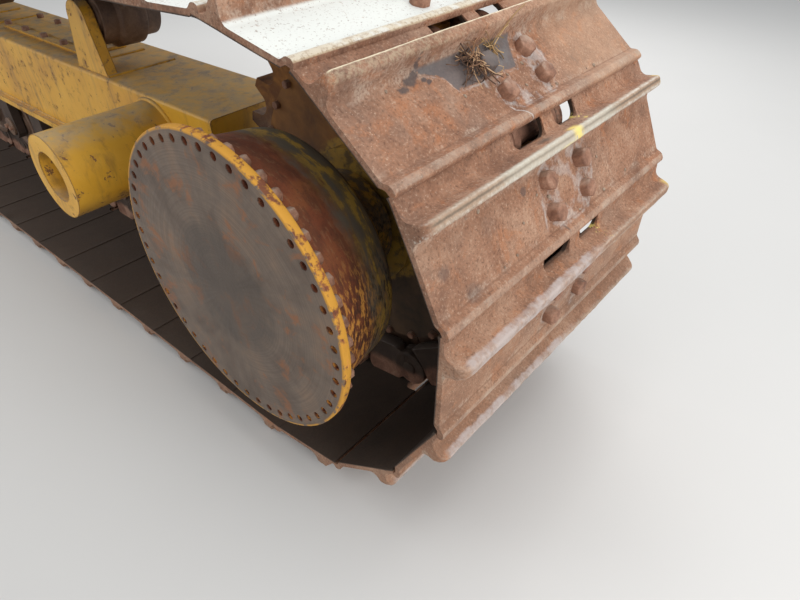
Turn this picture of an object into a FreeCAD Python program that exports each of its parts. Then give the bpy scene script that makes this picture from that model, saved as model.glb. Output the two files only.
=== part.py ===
import FreeCAD
import Part
import math
import os

# One side's crawler track unit of a wide-track bulldozer: the closed track, the wheels inside it,
# the roller frame that carries them, and the final drive that turns the sprocket.
# Millimetres. +X points to the machine's front, +Y towards its hull, +Z up.
# The origin is on the sprocket's axis, in the plane where the final drive bolts to the hull.

V = FreeCAD.Vector

# Chain and shoes
pitch = 203.2                # pin to pin
sprocket_teeth = 27          # an odd number: every second hollow meets a bushing
segment_count = 9            # the toothed rim is bolted on in equal segments
segment_gap = 2.0
link_count = 45
pin_to_rail = 54.0           # pin centre to the face that the rollers run on
pin_to_seat = 61.0           # pin centre to the face that the shoe is bolted to
rail_inner = 54.0            # track centre to the near side of a rail
rail_width = 44.0
bushing_radius = 30.0
bushing_sides = 6
bushing_bite = 4.0           # how far a bushing is pressed into each rail
shoe_width = 830.0
plate_thickness = 13.0
grouser_height = 44.0        # worn, above the plate
grouser_back = 66.0          # grouser's middle, behind the shoe's middle
grouser_tip = 18.0
grouser_foot = 36.0
lip_radius = 72.0            # leading lip, about the pin
lip_thickness = 11.0
lip_bite = 1.4               # how far a shoe's rear lip lies into the next shoe's lip
lip_rise = 10.0              # rear lip, above the plate
lip_reach = 15.4             # rear lip, past the pin
lip_lap = 4.0                # degrees by which two lips still lie over each other at the tightest bend
first_pin = 0.205            # where the chain stands, in pitches ahead of the sprocket's axis
sag = 12.0                   # upper run, between two carriers

# Hull side
track_offset = 480.0         # hull face to the middle of the track

# Sprocket
seat_clearance = 0.3         # every turning or slipped-on fit
tooth_clearance = 0.9        # hollow to bushing
tooth_rise = 22.0            # above the pitch circle
tooth_tip = 26.0
hollow_wrap = 78.0           # degrees of the hollow's arc each side of its floor
sprocket_width = 72.0
rim_inner_radius = 345.0
web_radius = 362.0
web_thickness = 24.0
hub_radius = 168.0
hub_inner_reach = 100.0
hub_outer_reach = 62.0
hub_cover_radius = 138.0
hub_cover_reach = 34.0
hub_cover_chamfer = 12.0
hub_floor = 26.0

# Final drive case
flange_radius = 336.0
flange_thickness = 20.0
flange_bolt_circle = 315.0
flange_bolt_count = 48
flange_bolt_radius = 9.0
case_root_radius = 297.0
case_rim_radius = 276.0
case_depth = 216.0
case_round = 30.0
neck_radius = 124.0
seal_gap = 9.0
spindle_radius = 88.0

# Idler
idler_tread_radius = 367.5
idler_gap = 9.5              # tread to the rails, so that the wheel turns clear
idler_flange = 17.0
idler_flange_width = 88.0
idler_rim = 46.0
idler_web = 30.0
idler_hub_radius = 96.0
idler_hub_width = 208.0
idler_shaft_radius = 38.0
idler_side_gap = 6.0
block_length = 190.0
block_height = 150.0
block_thickness = 46.0
fork_leg = 40.0
fork_lead = 24.0             # how far the fork's legs pass the bearing block

# Rollers
roller_count = 8
roller_tread_radius = 100.0
roller_flange = 20.0
roller_flange_width = 15.0
roller_flange_gap = 3.0
roller_waist_radius = 78.0
roller_waist_half = 40.0
roller_shaft_radius = 32.0
roller_end_gap = 6.0
collar_length = 104.0
collar_thickness = 34.0
wheel_gap = 16.0             # between neighbouring wheels, and from wheel to frame
carrier_count = 2
carrier_tread_radius = 84.0
carrier_flange = 16.0
carrier_foot_length = 190.0
carrier_head_radius = 56.0
carrier_post_thickness = 34.0

# Roller frame
frame_half_width = 150.0
frame_wall = 22.0
frame_height = 262.0
frame_round = 12.0
bed_thickness = 24.0
bed_overhang = 22.0
pivot_from_rear = 301.4      # bore's axis, ahead of the frame's rear end
pivot_above_bed = 131.0
pivot_boss_radius = 118.0
pivot_bore_radius = 70.0
pivot_boss_gap = 6.0         # boss to the hull's side
equalizer_behind_front = 388.0
equalizer_above_frame = 92.0
equalizer_inboard = 60.0
equalizer_bore_radius = 30.0
equalizer_boss_radius = 54.0
equalizer_boss_length = 84.0
equalizer_foot_width = 150.0
guard_thickness = 16.0
guard_drop = 150.0
guard_length = 470.0

# What follows from them
track_y = -track_offset
engaged = sprocket_teeth / 2
pitch_radius = pitch / 2 / math.sin(math.pi / engaged)
tip_radius = pitch_radius + tooth_rise
plate_face = pin_to_seat + plate_thickness
ground = -(pitch_radius + plate_face + grouser_height)
rail_top = -pitch_radius + pin_to_rail
rail_outer = rail_inner + rail_width
idler_reach = idler_tread_radius + idler_gap + pin_to_rail
idler_pin_radius = math.hypot(idler_reach, pitch / 2)
idler_z = -pitch_radius + idler_reach
tightest_bend = 2 * max(math.pi / engaged, math.asin(pitch / 2 / idler_pin_radius))
idler_radius = idler_tread_radius + idler_flange
roller_radius = roller_tread_radius + roller_flange
roller_z = rail_top + roller_tread_radius + seat_clearance
shell_half = rail_outer + roller_flange_gap + roller_flange_width
collar_inner = shell_half + roller_end_gap
collar_outer = collar_inner + collar_thickness
bed_bottom = roller_z + roller_radius + wheel_gap
bed_top = bed_bottom + bed_thickness
frame_top = bed_top + frame_height
frame_rear = tip_radius + wheel_gap
pivot_ahead = frame_rear + pivot_from_rear
hub_inner_y = track_y + hub_inner_reach
hub_outer_y = track_y - hub_outer_reach
block_inner = idler_hub_width / 2 + idler_side_gap


def run_height(x, wheelbase):
    """Height of the pins along the upper run, which hangs a little between its supports."""
    share = x / wheelbase
    line = pitch_radius + (idler_z + idler_reach - pitch_radius) * share
    if not 0 < share < 1:
        return line
    spans = carrier_count + 1
    part = (share * spans) % 1
    return line - 4 * sag * part * (1 - part)


def pin_line(t, wheelbase):
    """A point of the closed line that the pins lie on, t being the way along it from below the sprocket."""
    flat = wheelbase + pitch / 2
    corner = math.asin(pitch / 2 / idler_pin_radius)
    front = idler_pin_radius * (math.pi - 2 * corner)
    rear = pitch_radius * math.pi
    t = t % (2 * flat + front + rear)
    if t < flat:
        return t, -pitch_radius
    t -= flat
    if t < front:
        angle = -math.pi / 2 + corner + t / idler_pin_radius
        return wheelbase + idler_pin_radius * math.cos(angle), idler_z + idler_pin_radius * math.sin(angle)
    t -= front
    if t < flat:
        return flat - t, run_height(flat - t, wheelbase)
    angle = (t - flat) / pitch_radius
    return -pitch_radius * math.sin(angle), pitch_radius * math.cos(angle)


def loop_length(wheelbase):
    corner = math.asin(pitch / 2 / idler_pin_radius)
    return 2 * wheelbase + pitch + idler_pin_radius * (math.pi - 2 * corner) + pitch_radius * math.pi


def next_pin(t, wheelbase):
    x, z = pin_line(t, wheelbase)
    low, high = t + pitch / 2, t + pitch * 1.4
    for _ in range(40):
        middle = (low + high) / 2
        x1, z1 = pin_line(middle, wheelbase)
        if math.hypot(x1 - x, z1 - z) < pitch:
            low = middle
        else:
            high = middle
    return (low + high) / 2


def march(wheelbase):
    """The chain's pins, and how much of the loop is left over once the last link is laid."""
    t = start = first_pin * pitch
    pins = []
    for _ in range(link_count):
        pins.append(pin_line(t, wheelbase))
        t = next_pin(t, wheelbase)
    return pins, start + loop_length(wheelbase) - t


def tensioned():
    """The idler is set where the chain closes on itself."""
    low = (link_count - engaged) * pitch / 2 - pitch
    high = low + 2 * pitch
    for _ in range(40):
        middle = (low + high) / 2
        if march(middle)[1] < 0:
            low = middle
        else:
            high = middle
    return (low + high) / 2


wheelbase = tensioned()
pins = march(wheelbase)[0]
frame_front = wheelbase - idler_radius - wheel_gap
equalizer_ahead = frame_front - equalizer_behind_front


def placed(outline, start, end):
    """Points given along a link and outwards from its pins, laid between two pins."""
    (x0, z0), (x1, z1) = start, end
    tx, tz = (x1 - x0) / pitch, (z1 - z0) / pitch
    xm, zm = (x0 + x1) / 2, (z0 + z1) / 2
    return [(xm + s * tx + h * tz, zm + s * tz - h * tx) for s, h in outline]


def face_xz(points, y):
    corners = [V(x, y, z) for x, z in points]
    return Part.Face(Part.makePolygon(corners + corners[:1]))


def plate_xz(points, y0, y1):
    return face_xz(points, y0).extrude(V(0, y1 - y0, 0))


def plate_yz(points, x0, x1):
    corners = [V(x0, y, z) for y, z in points]
    return Part.Face(Part.makePolygon(corners + corners[:1])).extrude(V(x1 - x0, 0, 0))


def block(x0, x1, y0, y1, z0, z1):
    return Part.makeBox(x1 - x0, y1 - y0, z1 - z0, V(x0, y0, z0))


def turned(profile, x=0.0, z=0.0):
    """A solid of revolution about an axis along Y, from (radius, y) points."""
    corners = [V(x + r, y, z) for r, y in profile]
    face = Part.Face(Part.makePolygon(corners + corners[:1]))
    return face.revolve(V(x, 0, z), V(0, 1, 0), 360)


def rod_y(radius, y0, y1, x=0.0, z=0.0):
    return Part.makeCylinder(radius, y1 - y0, V(x, y0, z), V(0, 1, 0))


def rod_x(radius, x0, x1, y, z):
    return Part.makeCylinder(radius, x1 - x0, V(x0, y, z), V(1, 0, 0))


def joined(shapes):
    whole = shapes[0].multiFuse(shapes[1:]) if len(shapes) > 1 else shapes[0]
    return whole.removeSplitter()


def about_pin(radius, degrees, pin):
    angle = math.radians(degrees)
    return pin + radius * math.sin(angle), radius * math.cos(angle)


def shoe_outline():
    """Side view of one shoe: leading lip, grouser, plate, and the raised lip that covers the next shoe."""
    back, front = pitch / 2, -pitch / 2
    tip = plate_face + grouser_height
    under = lip_radius - lip_bite
    rear_end = back + lip_reach
    lip_start = math.degrees(math.asin(lip_reach / under) - tightest_bend) - lip_lap
    return [
        about_pin(lip_radius - lip_thickness, lip_start - 1, front),
        about_pin(lip_radius, lip_start, front),
        about_pin(lip_radius, 0, front),
        (-grouser_back - grouser_foot / 2 + 4, plate_face - 1),
        (-grouser_back - grouser_tip / 2, tip),
        (-grouser_back + grouser_tip / 2, tip),
        (-grouser_back + grouser_foot / 2 + 4, plate_face),
        (back - 18, plate_face),
        (back - 2, plate_face + lip_rise),
        (rear_end, plate_face + lip_rise),
        (rear_end, math.sqrt(under**2 - lip_reach**2)),
        about_pin(under, -2, back),
        (back - 15, pin_to_seat),
        (front + 6, pin_to_seat),
    ]


def link_outline():
    """Side view of one link, whose narrowed ends overlap its neighbours' at the pins."""
    half = pitch / 2
    return [
        (-half + 15, -pin_to_rail),
        (half - 15, -pin_to_rail),
        (half + 10, -18),
        (half + 10, 18),
        (half - 24, pin_to_seat),
        (-half + 24, pin_to_seat),
        (-half - 10, 18),
        (-half - 10, -18),
    ]


def closed_loop(outline, y0, y1):
    """One outline laid on every link and joined into a single ring across the given width."""
    links = [plate_xz(placed(outline, p, q), y0, y1) for p, q in zip(pins, pins[1:] + pins[:1])]
    return joined(links)


def track_shoes():
    half = shoe_width / 2
    return [closed_loop(shoe_outline(), track_y - half, track_y + half)]


def track_chain():
    rails = []
    for side in (-1, 1):
        near, far = side * rail_inner, side * (rail_inner + rail_width)
        rails.append(closed_loop(link_outline(), track_y + min(near, far), track_y + max(near, far)))
    reach = rail_inner + bushing_bite
    bushings = []
    for (x, z), (x1, z1) in zip(pins, pins[1:] + pins[:1]):
        lean = math.atan2(z1 - z, x1 - x)
        ring = [lean + 2 * math.pi * i / bushing_sides for i in range(bushing_sides)]
        points = [(x + bushing_radius * math.cos(a), z + bushing_radius * math.sin(a)) for a in ring]
        bushings.append(plate_xz(points, track_y - reach, track_y + reach))
    return [joined(rails + bushings)]


def sprocket_segments():
    """Toothed rim whose hollows sit round the bushings, cut into the segments that are bolted to the web."""
    x, z = min(pins)
    start = math.atan2(z, x)
    step = 2 * math.pi / sprocket_teeth
    hollow = bushing_radius + tooth_clearance
    half_tip = math.asin(tooth_tip / 2 / tip_radius)
    half_width = sprocket_width / 2
    edges = []

    def polar(radius, angle):
        return V(radius * math.cos(angle), track_y - half_width, radius * math.sin(angle))

    def in_hollow(angle, degrees):
        turn = angle + math.pi + math.radians(degrees)
        return polar(pitch_radius, angle) + V(hollow * math.cos(turn), 0, hollow * math.sin(turn))

    for i in range(sprocket_teeth):
        a = start + i * step
        last = in_hollow(a, -hollow_wrap)
        tip_a = polar(tip_radius, a + step / 2 - half_tip)
        tip_b = polar(tip_radius, a + step / 2 + half_tip)
        edges.append(Part.Arc(in_hollow(a, hollow_wrap), in_hollow(a, 0), last).toShape())
        edges.append(Part.makeLine(last, tip_a))
        edges.append(Part.makeLine(tip_a, tip_b))
        edges.append(Part.makeLine(tip_b, in_hollow(a + step, hollow_wrap)))
    rim = Part.Face(Part.Wire(edges)).extrude(V(0, sprocket_width, 0))
    cuts = [rod_y(rim_inner_radius, track_y - half_width - 1, track_y + half_width + 1)]
    for i in range(segment_count):
        slot = block(
            rim_inner_radius / 2, tip_radius + 1, track_y - half_width - 1, track_y + half_width + 1,
            -segment_gap / 2, segment_gap / 2,
        )
        slot.rotate(V(0, 0, 0), V(0, -1, 0), math.degrees(start + step * i * sprocket_teeth / segment_count))
        cuts.append(slot)
    return rim.cut(Part.makeCompound(cuts)).Solids


def sprocket_hub():
    web_y = track_y + sprocket_width / 2
    profile = [
        (0, hub_outer_y),
        (hub_radius, hub_outer_y),
        (hub_radius, web_y),
        (web_radius, web_y),
        (web_radius, web_y + web_thickness),
        (hub_radius, web_y + web_thickness),
        (hub_radius, hub_inner_y),
        (spindle_radius + seat_clearance, hub_inner_y),
        (spindle_radius + seat_clearance, hub_outer_y + hub_floor),
        (0, hub_outer_y + hub_floor),
    ]
    return [turned(profile)]


def sprocket_cover():
    end = hub_outer_y - hub_cover_reach
    profile = [
        (0, hub_outer_y),
        (hub_cover_radius, hub_outer_y),
        (hub_cover_radius, end + hub_cover_chamfer),
        (hub_cover_radius - hub_cover_chamfer, end),
        (0, end),
    ]
    return [turned(profile)]


def final_drive_case():
    """Bolting flange, tapered drum with a rounded rim, neck, and the spindle in the sprocket's hub."""
    corner = 1 - math.sqrt(0.5)
    profile = [
        (0, 0),
        (flange_radius, 0),
        (flange_radius, -flange_thickness),
        (case_root_radius, -flange_thickness),
        (case_rim_radius, -case_depth + case_round),
        (case_rim_radius - case_round * corner, -case_depth + case_round * corner),
        (case_rim_radius - case_round, -case_depth),
        (neck_radius, -case_depth),
        (neck_radius, hub_inner_y + seal_gap),
        (spindle_radius, hub_inner_y + seal_gap),
        (spindle_radius, hub_outer_y + hub_floor + seat_clearance),
        (0, hub_outer_y + hub_floor + seat_clearance),
    ]
    case = turned(profile)
    holes = []
    for i in range(flange_bolt_count):
        a = 2 * math.pi * (i + 0.5) / flange_bolt_count
        x, z = flange_bolt_circle * math.cos(a), flange_bolt_circle * math.sin(a)
        holes.append(rod_y(flange_bolt_radius, -flange_thickness - 1, 1, x, z))
    return [case.cut(Part.makeCompound(holes))]


def idler_wheel():
    """Spoked by one web: a wide rim with a guide flange between the two treads."""
    rim, flange, hub = rail_outer, idler_flange_width / 2, idler_hub_width / 2
    web = idler_web / 2
    rim_inside = idler_tread_radius - idler_rim
    bore = idler_shaft_radius + seat_clearance
    half = [
        (bore, hub),
        (idler_hub_radius, hub),
        (idler_hub_radius, web),
        (rim_inside, web),
        (rim_inside, rim),
        (idler_tread_radius, rim),
        (idler_tread_radius, flange),
        (idler_radius, flange),
    ]
    profile = half + [(r, -y) for r, y in reversed(half)]
    return [turned([(r, track_y + y) for r, y in profile], wheelbase, idler_z)]


def idler_shaft():
    half = block_inner + block_thickness
    return [rod_y(idler_shaft_radius, track_y - half, track_y + half, wheelbase, idler_z)]


def idler_block(side):
    near, far = track_y + side * block_inner, track_y + side * (block_inner + block_thickness)
    body = block(
        wheelbase - block_length / 2, wheelbase + block_length / 2,
        min(near, far), max(near, far),
        idler_z - block_height / 2, idler_z + block_height / 2,
    )
    bore = idler_shaft_radius + seat_clearance
    return [body.cut(rod_y(bore, min(near, far) - 1, max(near, far) + 1, wheelbase, idler_z))]


def fork_arm(side):
    """One side of the front fork, open at its front end round the bearing block."""
    near, far = track_y + side * block_inner, track_y + side * (block_inner + block_thickness)
    slot = block_height / 2
    outer = slot + fork_leg
    back, front = wheelbase - block_length / 2, wheelbase + block_length / 2 + fork_lead
    points = [
        (frame_front, bed_bottom),
        (back - fork_leg, bed_bottom),
        (back, idler_z - outer),
        (front, idler_z - outer),
        (front, idler_z - slot),
        (back, idler_z - slot),
        (back, idler_z + slot),
        (front, idler_z + slot),
        (front, idler_z + outer),
        (back, idler_z + outer),
        (back - fork_leg, frame_top),
        (frame_front, frame_top),
    ]
    return [plate_xz(points, min(near, far), max(near, far))]


def long_edges(solid):
    return [e for e in solid.Edges if abs(e.tangentAt(e.FirstParameter).x) > 0.999]


def roller_frame():
    """Box beam, closed by its end plates, that stands on the roller bed."""
    beam = block(
        frame_rear, frame_front, track_y - frame_half_width, track_y + frame_half_width, bed_top, frame_top
    )
    beam = beam.makeFillet(frame_round, [e for e in long_edges(beam) if e.CenterOfMass.z > bed_top + 1])
    inside = block(
        frame_rear + frame_wall, frame_front - frame_wall,
        track_y - frame_half_width + frame_wall, track_y + frame_half_width - frame_wall,
        bed_top + frame_wall, frame_top - frame_wall,
    )
    return [beam.cut(inside)]


def roller_bed():
    half = frame_half_width + bed_overhang
    return [block(frame_rear, frame_front, track_y - half, track_y + half, bed_bottom, bed_top)]


def pivot_boss():
    start, end = track_y + frame_half_width, -pivot_boss_gap
    z = bed_top + pivot_above_bed
    boss = rod_y(pivot_boss_radius, start, end, pivot_ahead, z)
    return [boss.cut(rod_y(pivot_bore_radius, start - 1, end + 1, pivot_ahead, z))]


def equalizer_saddle():
    """Bored lug on the frame's top, on which the machine's cross bar rests."""
    y, z = track_y + equalizer_inboard, frame_top + equalizer_above_frame
    x0 = equalizer_ahead - equalizer_boss_length / 2
    x1 = x0 + equalizer_boss_length
    foot = equalizer_foot_width / 2
    boss = equalizer_boss_radius
    post = plate_yz([(y - foot, frame_top), (y + foot, frame_top), (y + boss, z), (y - boss, z)], x0, x1)
    lug = post.fuse(rod_x(boss, x0, x1, y, z))
    return [joined([lug.cut(rod_x(equalizer_bore_radius, x0 - 1, x1 + 1, y, z))])]


def roller_places():
    """Rollers spread evenly between the sprocket and the idler."""
    reach = roller_radius + wheel_gap
    first = math.sqrt((tip_radius + reach) ** 2 - roller_z**2)
    last = wheelbase - math.sqrt((idler_radius + reach) ** 2 - (idler_z - roller_z) ** 2)
    first = max(first, frame_rear + collar_length / 2)
    last = min(last, frame_front - collar_length / 2)
    step = (last - first) / (roller_count - 1)
    return [first + step * i for i in range(roller_count)]


def roller(x):
    """Shell with two treads, outside flanges and a waist over the shaft."""
    half = [
        (roller_shaft_radius + seat_clearance, shell_half),
        (roller_radius, shell_half),
        (roller_radius, shell_half - roller_flange_width),
        (roller_tread_radius, shell_half - roller_flange_width),
        (roller_tread_radius, roller_waist_half),
        (roller_waist_radius, roller_waist_half),
    ]
    profile = half + [(r, -y) for r, y in reversed(half)]
    return turned([(r, track_y + y) for r, y in profile], x, roller_z)


def roller_mount(x):
    """Fixed shaft, and the collars that bolt it under the bed."""
    pieces = [rod_y(roller_shaft_radius, track_y - collar_outer, track_y + collar_outer, x, roller_z)]
    half, foot = collar_length / 2, roller_shaft_radius + 18
    for side in (-1, 1):
        near, far = track_y + side * collar_inner, track_y + side * collar_outer
        points = [
            (x - foot, roller_z - foot / 2),
            (x - foot / 2, roller_z - foot),
            (x + foot / 2, roller_z - foot),
            (x + foot, roller_z - foot / 2),
            (x + half, bed_bottom),
            (x - half, bed_bottom),
        ]
        pieces.append(plate_xz(points, min(near, far), max(near, far)))
    return joined(pieces)


def carrier_places():
    """Each carrier stands under the middle of the upper link that is nearest to its share of the run."""
    places = []
    for i in range(carrier_count):
        wanted = wheelbase * (i + 1) / (carrier_count + 1)
        links = [(p, q) for p, q in zip(pins, pins[1:]) if p[1] > 0 and q[1] > 0]
        (x0, z0), (x1, z1) = min(links, key=lambda link: abs((link[0][0] + link[1][0]) / 2 - wanted))
        drop = pin_to_rail + carrier_tread_radius + seat_clearance
        places.append(placed([(0, -drop)], (x0, z0), (x1, z1))[0])
    return places


def carrier(x, z):
    half = [
        (roller_shaft_radius + seat_clearance, rail_outer),
        (carrier_tread_radius, rail_outer),
        (carrier_tread_radius, idler_flange_width / 2),
        (carrier_tread_radius + carrier_flange, idler_flange_width / 2),
    ]
    profile = half + [(r, -y) for r, y in reversed(half)]
    return [turned([(r, track_y + y) for r, y in profile], x, z)]


def carrier_mount(x, z):
    """Post on the frame's top, and the stub shaft that the carrier overhangs on."""
    near = track_y + rail_outer + roller_end_gap
    far = near + carrier_post_thickness
    head, foot = carrier_head_radius, carrier_foot_length / 2
    points = [(x - foot, frame_top), (x + foot, frame_top), (x + head, z), (x - head, z)]
    shaft = rod_y(roller_shaft_radius, track_y - rail_outer, far, x, z)
    return [joined([plate_xz(points, near, far), rod_y(head, near, far, x, z), shaft])]


def guide_guard(side, end):
    """Plate beside the track's links, hung from the bed outside two rollers' collars."""
    near, far = track_y + side * collar_outer, track_y + side * (collar_outer + guard_thickness)
    chamfer = guard_drop / 3
    x0 = frame_rear if end == "rear" else frame_front - guard_length
    x1 = x0 + guard_length
    low = bed_bottom - guard_drop
    points = [(x0, bed_bottom), (x1, bed_bottom), (x1, low + chamfer), (x1 - chamfer, low)]
    points += [(x0 + chamfer, low), (x0, low + chamfer)]
    return [plate_xz(points, min(near, far), max(near, far))]


nodes = {
    "track_shoes": track_shoes(),
    "track_chain": track_chain(),
    "sprocket_segments": sprocket_segments(),
    "sprocket_hub": sprocket_hub(),
    "sprocket_cover": sprocket_cover(),
    "final_drive_case": final_drive_case(),
    "idler_wheel": idler_wheel(),
    "idler_shaft": idler_shaft(),
    "roller_frame": roller_frame(),
    "roller_bed": roller_bed(),
    "pivot_boss": pivot_boss(),
    "equalizer_saddle": equalizer_saddle(),
}
for name, side in (("in", 1), ("out", -1)):
    nodes["idler_block_" + name] = idler_block(side)
    nodes["fork_arm_" + name] = fork_arm(side)
    for end in ("rear", "front"):
        nodes["guide_guard_" + end + "_" + name] = guide_guard(side, end)
nodes["track_rollers"] = [roller(x) for x in roller_places()]
nodes["roller_mounts"] = [roller_mount(x) for x in roller_places()]
for i, (x, z) in enumerate(carrier_places(), 1):
    nodes["carrier_" + str(i)] = carrier(x, z)
    nodes["carrier_mount_" + str(i)] = carrier_mount(x, z)

os.makedirs("parts", exist_ok=True)
for name, solids in nodes.items():
    solids = [s for shape in solids for s in shape.Solids]
    shape = solids[0] if len(solids) == 1 else Part.makeCompound(solids)
    shape.exportStep("parts/" + name + ".step")
    print(name, len(solids), "solids, volume", round(shape.Volume / 1e9, 5), "valid", shape.isValid())
print("wheelbase", round(wheelbase, 2), "ground", round(ground, 2), "idler_z", round(idler_z, 2))
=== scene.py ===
import bpy
import bmesh
import math
import random
from mathutils import Matrix, Vector


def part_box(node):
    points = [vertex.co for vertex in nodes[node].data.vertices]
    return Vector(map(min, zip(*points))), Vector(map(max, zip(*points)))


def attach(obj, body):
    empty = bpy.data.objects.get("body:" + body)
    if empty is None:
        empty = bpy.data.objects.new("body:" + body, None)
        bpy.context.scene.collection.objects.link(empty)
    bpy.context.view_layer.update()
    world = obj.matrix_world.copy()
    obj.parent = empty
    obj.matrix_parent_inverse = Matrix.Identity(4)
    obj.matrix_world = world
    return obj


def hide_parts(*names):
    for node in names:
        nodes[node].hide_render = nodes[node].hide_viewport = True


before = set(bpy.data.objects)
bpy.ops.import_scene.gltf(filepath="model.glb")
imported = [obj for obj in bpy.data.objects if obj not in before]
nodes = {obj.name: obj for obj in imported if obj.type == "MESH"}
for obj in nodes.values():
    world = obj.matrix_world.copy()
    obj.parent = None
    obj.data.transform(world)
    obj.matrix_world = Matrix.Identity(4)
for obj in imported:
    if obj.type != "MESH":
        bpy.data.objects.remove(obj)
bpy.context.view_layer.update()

print("scene: frame loaded,", len(nodes), "solids nodes")


# the chain's line, from the same sizes as the solids

track = {
    "pitch": 0.2032,
    "links": 45,
    "engagedTeeth": 13.5,
    "firstPin": 0.205,      # in pitches ahead of the sprocket's axis
    "sag": 0.012,
    "carriers": 2,
    "middleY": -0.48,
    "width": 0.83,
}

pitch = track["pitch"]
middleY = track["middleY"]
pitchRadius = pitch / 2 / math.sin(math.pi / track["engagedTeeth"])
idlerLow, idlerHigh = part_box("idler_wheel")
wheelbase = (idlerLow.x + idlerHigh.x) / 2
idlerZ = (idlerLow.z + idlerHigh.z) / 2
idlerReach = idlerZ + pitchRadius
idlerPinRadius = math.hypot(idlerReach, pitch / 2)
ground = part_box("track_shoes")[0].z


def pinLine(t):
    flat = wheelbase + pitch / 2
    corner = math.asin(pitch / 2 / idlerPinRadius)
    front = idlerPinRadius * (math.pi - 2 * corner)
    if t < flat:
        return t, -pitchRadius
    t -= flat
    if t < front:
        angle = -math.pi / 2 + corner + t / idlerPinRadius
        return wheelbase + idlerPinRadius * math.cos(angle), idlerZ + idlerPinRadius * math.sin(angle)
    t -= front
    if t < flat:
        x = flat - t
        share = x / wheelbase
        line = pitchRadius + (idlerZ + idlerReach - pitchRadius) * share
        if not 0 < share < 1:
            return x, line
        part = (share * (track["carriers"] + 1)) % 1
        return x, line - 4 * track["sag"] * part * (1 - part)
    angle = (t - flat) / pitchRadius
    return -pitchRadius * math.sin(angle), pitchRadius * math.cos(angle)


def chainPins():
    t = track["firstPin"] * pitch
    pins = []
    for count in range(track["links"]):
        pins.append(pinLine(t))
        low, high = t + pitch / 2, t + pitch * 1.4
        for step in range(40):
            t2 = (low + high) / 2
            x, z = pinLine(t2)
            if math.hypot(x - pins[-1][0], z - pins[-1][1]) < pitch:
                low = t2
            else:
                high = t2
        t = (low + high) / 2
    return pins


pins = chainPins()


def linkMatrix(index):
    # x along the link to its next pin, y across the track, z outwards
    x0, z0 = pins[index % len(pins)]
    x1, z1 = pins[(index + 1) % len(pins)]
    along = Vector((x1 - x0, 0, z1 - z0)).normalized()
    outwards = Vector((along.z, 0, -along.x))
    across = outwards.cross(along)
    m = Matrix((along, across, outwards)).transposed().to_4x4()
    m.translation = Vector(((x0 + x1) / 2, middleY, (z0 + z1) / 2))
    return m


# modelling by hand: small wrappers round the operators

def deselect():
    if bpy.context.object and bpy.context.object.mode != "OBJECT":
        bpy.ops.object.mode_set(mode="OBJECT")
    bpy.ops.object.select_all(action="DESELECT")


def activate(piece):
    deselect()
    piece.select_set(True)
    bpy.context.view_layer.objects.active = piece


def named(name):
    piece = bpy.context.object
    piece.name = name
    piece.data.name = name
    return piece


def addBox(name, low, high):
    deselect()
    size = [b - a for a, b in zip(low, high)]
    middle = [(a + b) / 2 for a, b in zip(low, high)]
    bpy.ops.mesh.primitive_cube_add(size=1, location=middle, scale=size)
    bpy.ops.object.transform_apply(location=True, rotation=True, scale=True)
    return named(name)


def addRod(name, radius, start, end, sides=32):
    deselect()
    start, end = Vector(start), Vector(end)
    turn = (end - start).to_track_quat("Z", "Y").to_euler()
    bpy.ops.mesh.primitive_cylinder_add(
        vertices=sides, radius=radius, depth=(end - start).length, location=(start + end) / 2, rotation=turn
    )
    bpy.ops.object.transform_apply(location=True, rotation=True, scale=True)
    return named(name)


def edit(piece, mode="FACE"):
    activate(piece)
    bpy.ops.object.mode_set(mode="EDIT")
    bpy.ops.mesh.select_mode(type=mode)
    bpy.ops.mesh.select_all(action="DESELECT")


def pick(piece, kind, test):
    # marks the elements of the mesh in edit mode that pass a test
    mesh = bmesh.from_edit_mesh(piece.data)
    for element in getattr(mesh, kind):
        element.select_set(bool(test(element)))
    if kind == "verts":
        mesh.select_flush(True)
    bmesh.update_edit_mesh(piece.data)


def middleOf(element):
    return sum((v.co for v in element.verts), Vector()) / len(element.verts)


def done():
    bpy.ops.object.mode_set(mode="OBJECT")


def finishWith(piece, kind, **settings):
    activate(piece)
    modifier = piece.modifiers.new(kind.title(), kind)
    for key, value in settings.items():
        setattr(modifier, key, value)
    bpy.ops.object.modifier_apply(modifier=modifier.name)
    return piece


def bevelEdges(piece, width, segments, angle=30):
    return finishWith(
        piece, "BEVEL", width=width, segments=segments, limit_method="ANGLE", angle_limit=math.radians(angle),
        harden_normals=False,
    )


def smooth(piece, degrees=38):
    activate(piece)
    bpy.ops.object.shade_smooth_by_angle(angle=math.radians(degrees))
    return piece


def joinAll(name, pieces):
    deselect()
    for piece in pieces:
        piece.select_set(True)
    bpy.context.view_layer.objects.active = pieces[0]
    if len(pieces) > 1:
        bpy.ops.object.join()
    return named(name)


def copyOf(piece, matrix=None):
    deselect()
    piece.select_set(True)
    bpy.context.view_layer.objects.active = piece
    bpy.ops.object.duplicate()
    twin = bpy.context.object
    if matrix is not None:
        twin.data.transform(matrix)
    return twin


def discard(*pieces):
    for piece in pieces:
        bpy.data.objects.remove(piece, do_unlink=True)


def outward(piece):
    edit(piece)
    bpy.ops.mesh.select_all(action="SELECT")
    bpy.ops.mesh.remove_doubles(threshold=0.00001)
    bpy.ops.mesh.normals_make_consistent(inside=False)
    done()
    return piece


def give(piece, material, body="frame"):
    piece.data.materials.clear()
    piece.data.materials.append(material)
    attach(piece, body)
    return piece


def marked(piece, name, values):
    attribute = piece.data.attributes.new(name, "FLOAT_VECTOR", "POINT")
    flat = [c for value in values for c in value]
    attribute.data.foreach_set("vector", flat)


# shader maths

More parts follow.
